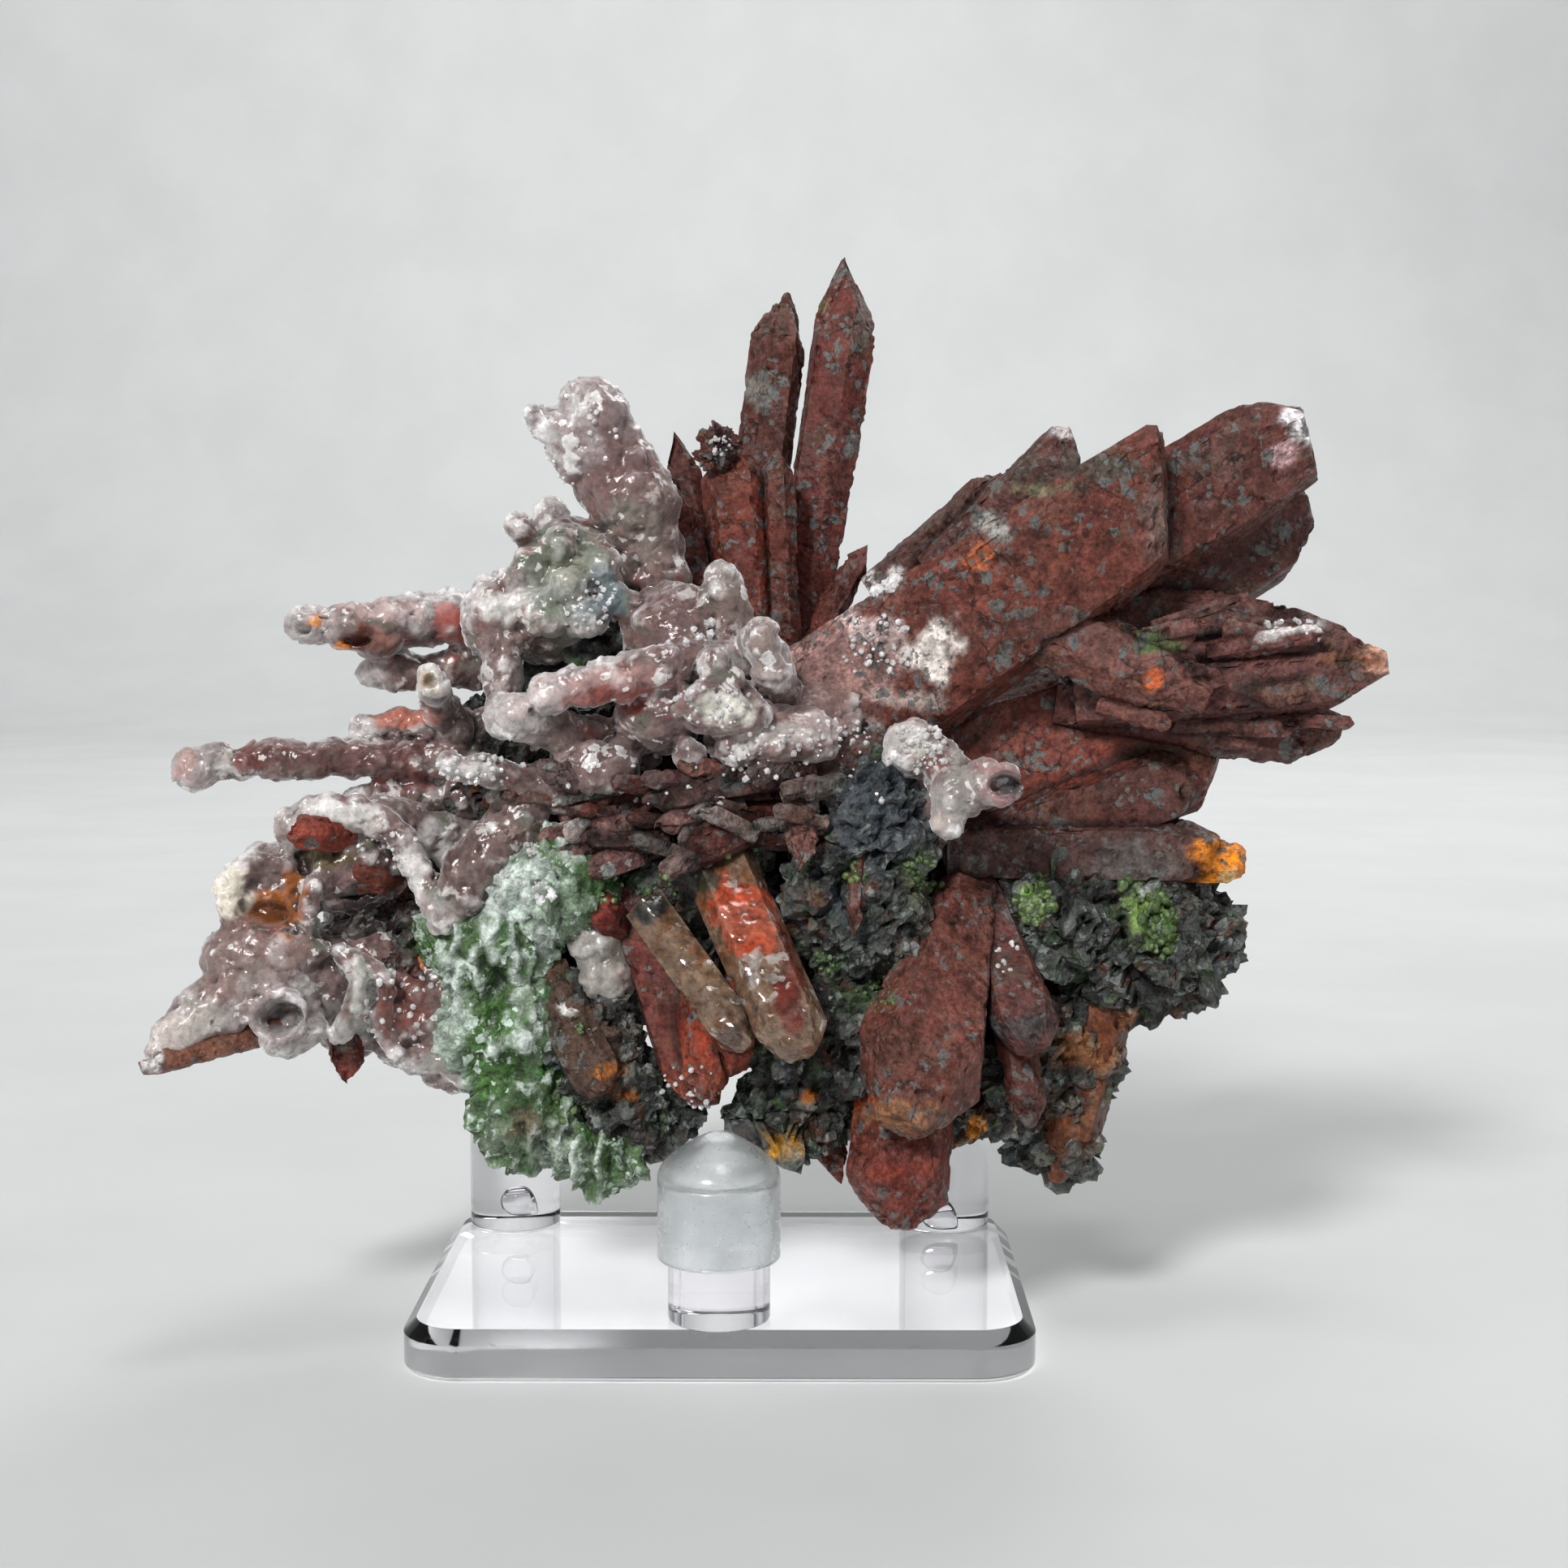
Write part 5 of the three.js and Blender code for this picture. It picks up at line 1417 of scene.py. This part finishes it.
BACK_LUMPS = [
    [20, 14, 42, 19, 13, 11], [-18, 13, 43, 17, 13, 13], [2, 14, 55, 16, 12, 10], [36, 10, 38, 12, 11, 10],
]

front_rock = rock("dark_matrix", FRONT_LUMPS, 0.5, dark_stone, [
    (1090, 1000, 80, 90, (76, 84, 92), 0.7), (1052, 1070, 16, 18, (110, 132, 82), 0.8),
    (1146, 1078, 30, 26, (122, 138, 100), 0.8), (1020, 1185, 34, 18, (74, 112, 66), 0.85),
    (1080, 1235, 30, 32, (88, 108, 70), 0.85), (1165, 1185, 12, 20, (180, 112, 50), 0.8),
    (1275, 1112, 26, 30, (140, 172, 92), 0.9), (1412, 1125, 36, 50, (142, 176, 92), 0.9),
    (1408, 1088, 9, 12, (205, 204, 200), 0.9), (1340, 1300, 62, 32, (156, 100, 56), 0.85),
    # The first patch is orange stone lightened along its ridge by a painted highlight.
    (1382, 1262, 30, 20, (196, 134, 84), 0.85), (1262, 1335, 14, 18, (40, 88, 52), 0.85),
    (966, 1415, 32, 22, (176, 124, 30), 0.95), (998, 1352, 18, 15, (196, 112, 40), 0.95),
    (1197, 1388, 18, 20, (206, 128, 25), 0.95), (1172, 1412, 12, 12, (196, 122, 25), 0.95),
    (1330, 1380, 60, 56, (92, 66, 48), 0.6), (1180, 1060, 20, 30, (110, 84, 80), 0.4),
    # The first patch is painted shade seen in the opening of the pale growths.
    (460, 1120, 80, 60, (56, 36, 34), 0.9), (480, 1190, 70, 40, (92, 50, 44), 0.8),
    (830, 990, 160, 50, (90, 52, 46), 0.75), (900, 1080, 90, 60, (78, 68, 64), 0.5),
    (1110, 1230, 60, 50, (54, 72, 44), 0.7), (1150, 1085, 50, 50, (84, 96, 66), 0.6),
    (1050, 1150, 40, 60, (56, 66, 62), 0.5), (752, 1320, 26, 16, (186, 112, 34), 0.95),
    (772, 1352, 22, 12, (178, 104, 40), 0.95), (740, 1290, 60, 40, (84, 58, 44), 0.7),
    (790, 1400, 40, 40, (52, 44, 42), 0.6), (915, 1370, 30, 40, (40, 60, 42), 0.7),
], seed=5)
rock("back_matrix", BACK_LUMPS, 0.6, dark_stone, [], seed=9, coarse=5.0)
curtain = rock("green_curtain", CURTAIN_LUMPS, 0.42, green_stone, [
    (620, 1090, 70, 60, (196, 208, 200), 0.85), (600, 1040, 60, 60, (188, 192, 186), 0.8),
    (690, 1130, 40, 50, (150, 170, 146), 0.6), (612, 1290, 54, 100, (62, 100, 40), 0.95),
    (555, 1260, 20, 110, (166, 180, 166), 0.8), (650, 1400, 70, 30, (120, 136, 110), 0.8),
    (690, 1425, 50, 20, (176, 186, 170), 0.7), (640, 1380, 40, 20, (96, 70, 48), 0.6),
], seed=13, coarse=3.0, height=0.4, slot="green_crust", folds=0.9)
crust = growth("white_crust", TUBE_CHAINS, CRUST_LUMPS, 6, 0.36, [
    (1010, 860, 150, 90, (150, 124, 118), 0.6), (1180, 975, 44, 60, (140, 136, 130), 0.85),
    (1236, 965, 44, 44, (140, 82, 76), 0.9), (1130, 918, 34, 26, (206, 204, 194), 0.8),
    (1160, 1010, 24, 20, (176, 160, 150), 0.7), (960, 905, 60, 16, (196, 190, 184), 0.7),
    # This near-black patch is painted shade inside the opening of the tube.
    (1242, 967, 20, 14, (36, 18, 17), 1.0),
], hollows=[(1240, 967, 24, 17, 3.0)], seed=17)
upper = growth("upper_chalcedony", UPPER_CHAINS, UPPER_LUMPS, 5, 0.36, [
    (770, 560, 80, 110, (112, 86, 84), 0.75), (790, 650, 40, 60, (138, 132, 122), 0.6),
    (700, 722, 84, 82, (108, 114, 98), 1.0), (740, 735, 30, 36, (96, 110, 116), 0.8),
    (700, 702, 26, 20, (96, 100, 52), 0.8), (618, 748, 40, 30, (232, 228, 222), 0.9),
    (922, 735, 40, 60, (118, 104, 96), 0.7), (890, 700, 20, 30, (132, 128, 118), 0.6),
    (938, 812, 26, 40, (140, 124, 116), 0.8), (655, 855, 50, 30, (214, 200, 196), 0.7),
    (760, 838, 90, 20, (178, 134, 128), 0.7), (760, 866, 80, 16, (140, 56, 44), 0.8),
    (890, 872, 56, 28, (232, 230, 218), 0.9), (830, 780, 40, 50, (104, 84, 82), 0.7),
    (800, 930, 120, 40, (104, 88, 86), 0.7), (640, 940, 60, 20, (160, 156, 152), 0.6),
    # This near-black patch is painted shade inside the opening.
    (865, 968, 14, 16, (24, 16, 16), 1.0),
], hollows=[(865, 968, 13, 15, 1.5)], seed=19, spots=[
    (600, 738, -9, 1.9), (638, 735, -9, 2.1), (612, 765, -10, 1.3), (625, 788, -11, 1.3),
    (618, 838, -11, 1.1), (620, 880, -15, 2.2), (672, 855, -14, 1.6), (900, 872, -17, 2.0),
    (862, 858, -18, 1.4), (925, 880, -16, 1.8), (938, 790, -17, 2.3), (950, 825, -17, 1.8),
    (880, 815, -17, 2.1), (900, 838, -17, 1.3), (815, 880, -13, 2.2), (745, 935, -12, 2.4),
    (700, 930, -11, 2.0), (850, 930, -14, 1.7), (836, 965, -14, 1.2), (885, 990, -14, 1.2),
])
arms = growth("chalcedony_arms", ARM_CHAINS, [], 6, 0.33, [
    (570, 768, 50, 34, (170, 84, 74), 0.95), (470, 750, 80, 16, (196, 170, 166), 0.8),
    (470, 785, 60, 12, (170, 112, 96), 0.6), (384, 772, 12, 10, (255, 150, 20), 1.0),
    (438, 788, 34, 15, (90, 34, 12), 1.0), (410, 797, 22, 8, (232, 128, 30), 1.0),
    (530, 839, 26, 26, (226, 220, 206), 0.9), (530, 839, 12, 12, (150, 112, 30), 1.0),
    (500, 885, 56, 16, (186, 112, 92), 0.85), (430, 932, 170, 22, (92, 58, 54), 0.85),
    (300, 936, 24, 14, (112, 56, 50), 0.85), (224, 945, 20, 24, (170, 128, 118), 0.8),
    (580, 948, 56, 18, (214, 210, 206), 0.8), (480, 960, 110, 10, (120, 44, 36), 0.7),
    (480, 1000, 60, 16, (110, 82, 80), 0.6),
], hollows=[(374, 774, 11, 9, 1.2), (438, 788, 22, 9, 1.4), (530, 839, 10, 10, 1.2)], seed=29)
lower = growth("pale_growths", LOWER_CHAINS, LOWER_LUMPS, 7, 0.36, [
    (420, 1015, 80, 26, (214, 208, 204), 0.7), (286, 1085, 16, 30, (228, 220, 206), 0.85),
    (332, 1126, 40, 30, (206, 116, 20), 1.0), (368, 1085, 18, 22, (150, 84, 26), 0.95),
    # The first patch is painted shade inside an opening.
    (460, 1110, 70, 50, (52, 34, 33), 0.95), (530, 1172, 24, 20, (214, 118, 50), 0.9),
    (400, 1050, 36, 20, (96, 88, 44), 0.85), (492, 1240, 50, 56, (112, 60, 50), 0.85),
    (445, 1215, 20, 50, (200, 200, 192), 0.85), (300, 1190, 90, 60, (140, 122, 116), 0.6),
    (560, 1300, 50, 60, (150, 152, 144), 0.7), (250, 1250, 50, 30, (206, 200, 194), 0.6),
    (742, 1192, 60, 60, (140, 134, 124), 0.95), (425, 1270, 50, 30, (152, 156, 150), 0.7),
    # The second patch is painted shade inside an opening.
    (512, 1080, 24, 50, (226, 222, 218), 0.9), (344, 1258, 30, 24, (64, 30, 28), 0.95),
    (215, 1275, 60, 30, (206, 198, 190), 0.8), (420, 1000, 80, 14, (230, 226, 222), 0.8),
    (276, 1096, 30, 44, (236, 226, 208), 0.95), (330, 1126, 36, 26, (136, 76, 26), 0.95),
], hollows=[(344, 1256, 32, 24, 3.4), (458, 1120, 52, 34, 2.6), (332, 1126, 28, 18, 1.4)], seed=37)

bead = rock("dark_bead", [[-0.4, 2.4, 90.6, 2.1, 2, 2.1], [-1.6, 2.6, 89.4, 1.2, 1.2, 1.2]], 0.2, red_stone, [
    (888, 548, 26, 24, (58, 38, 40), 0.95),
], seed=91, coarse=1.4, height=0.35, slot="red_quartz")

pieces = [spires, bead, broad, fan, prisms, hanging, lying, shards, front_rock]
pieces += [crust, upper, arms, lower, curtain]
druse("white_druse", pieces, [
    (1080, 795, 46, 40, 44, 0.55), (1010, 905, 70, 20, 60, 0.55), (950, 930, 60, 30, 60, 0.6),
    (1130, 915, 34, 22, 50, 0.6), (1590, 780, 44, 16, 40, 0.6), (660, 1050, 18, 14, 16, 0.7),
    (668, 1100, 18, 14, 16, 0.7), (902, 1080, 34, 14, 30, 0.6), (730, 745, 34, 34, 60, 0.5),
    (888, 548, 16, 12, 40, 0.4), (480, 1050, 40, 26, 30, 0.5), (590, 948, 56, 16, 44, 0.55),
    (490, 1240, 50, 46, 60, 0.6), (1080, 960, 60, 40, 30, 0.5), (880, 870, 50, 26, 50, 0.5),
    (1240, 1175, 14, 26, 16, 0.45), (960, 1250, 18, 40, 20, 0.55), (850, 1340, 36, 30, 30, 0.5),
    (845, 780, 40, 20, 14, 0.8), (700, 540, 60, 60, 30, 0.5), (800, 960, 120, 30, 50, 0.5),
    (1070, 715, 40, 16, 40, 0.8), (1140, 930, 30, 20, 30, 0.7),
], glitter, "clear_quartz", seed=43)
druse("green_beads", pieces, [
    (1275, 1112, 24, 26, 34, 1.1), (1400, 1112, 26, 30, 40, 1.2), (1430, 1140, 18, 40, 34, 1.1),
    (1050, 1070, 12, 16, 12, 0.9), (1140, 1075, 30, 22, 26, 0.8), (812, 1098, 24, 20, 20, 0.8),
    (755, 1100, 22, 18, 16, 0.8), (705, 1270, 26, 14, 14, 0.7), (690, 1368, 34, 14, 20, 0.8),
    (1080, 1225, 26, 26, 20, 0.7), (905, 1052, 30, 14, 16, 0.7), (1010, 1185, 26, 14, 14, 0.7),
], bead_green, "green_crust", seed=47, rounded=True)


# ---------------------------------------------------------------- floor, light and camera

FLOOR = dict(half=1.6, near=-0.9, far=0.9, bend=0.35, high=1.7)  # in metres


def stage_floor():
    """A pale floor that curves up into the wall behind it."""
    half, near, far, bend, high = FLOOR.values()
    profile = [(near, 0.0), (far, 0.0)]
    for turn in np.linspace(0.1, math.pi / 2, 14):
        profile.append((far + bend * math.sin(turn), bend * (1 - math.cos(turn))))
    profile.append((far + bend, high))
    verts = np.array([(x, y, z) for y, z in profile for x in (-half, half)])
    n = 2 * np.arange(len(profile) - 1)
    faces = np.stack([n, n + 1, n + 3, n + 2], 1)
    mesh = make_mesh("floor", verts, faces, 1.0)
    mesh.polygons.foreach_set("use_smooth", np.ones(len(faces), bool))
    made, tree, shader, at = new_material("pale_floor")
    soft = clouds(tree, at, 60, 3)
    tree.links.new(mixed(tree, spread(tree, soft, 0.3, 0.7), whole((212, 214, 213)), whole((217, 219, 218))),
                   shader.inputs["Base Color"])
    shader.inputs["Roughness"].default_value = 0.75
    mesh.materials.append(made)
    floor = bpy.data.objects.new("floor", mesh)
    bpy.context.scene.collection.objects.link(floor)


LIGHTS = {  # place, aim, size in metres and watts
    "overhead": ((0.05, -0.12, 0.8), (0, 0, 0.06), 0.18, 0.9),
    "front": ((-0.6, -1.4, 1.15), (0, 0, 0.06), 0.36, 26),
    "right_card": ((0.9, -0.15, 0.46), (0, 0, 0.05), 0.8, 1.1),
    "left_card": ((-0.9, -0.15, 0.46), (0, 0, 0.05), 0.8, 0.7),
    "backdrop": ((0, 0.45, 0.9), (0, 1.3, 0.35), 0.6, 3.6),
    "rear": ((0.45, 0.75, 0.8), (0, 0, 0.05), 0.4, 3),
    "front_card": ((0, -1.35, 0.42), (0, 0, 0.05), 0.8, 0.8),
}
ROOM_COLOUR = (0.93, 0.96, 1.0, 1)
ROOM_STRENGTH = 0.17


def soft_light(name, place, aim, size, watts):
    """A round soft lamp that the camera doesn't see."""
    lamp = bpy.data.lights.new(name, "AREA")
    lamp.shape = "DISK"
    lamp.size = size
    lamp.energy = watts
    thing = bpy.data.objects.new(name, lamp)
    thing.location = place
    thing.rotation_euler = (Vector(aim) - Vector(place)).to_track_quat("-Z", "Y").to_euler()
    thing.visible_camera = False
    bpy.context.scene.collection.objects.link(thing)


stage_floor()
for name, settings in LIGHTS.items():
    soft_light(name, *settings)
world = bpy.data.worlds.new("room")
world.use_nodes = True
background = world.node_tree.nodes["Background"]
background.inputs["Color"].default_value = ROOM_COLOUR
background.inputs["Strength"].default_value = ROOM_STRENGTH
bpy.context.scene.world = world
bpy.context.scene.view_settings.view_transform = "Standard"

camera = bpy.data.cameras.new("camera")
camera.sensor_width = SENSOR
camera.lens = FOCAL / FRAME_SIZE * SENSOR
camera.clip_start = 0.01
viewer = bpy.data.objects.new("camera", camera)
turn = np.eye(4)
turn[:3, 0], turn[:3, 1], turn[:3, 2], turn[:3, 3] = RIGHT, UP, -AHEAD, EYE * MM
viewer.matrix_world = Matrix(turn.tolist())
bpy.context.scene.collection.objects.link(viewer)
bpy.context.scene.camera = viewer
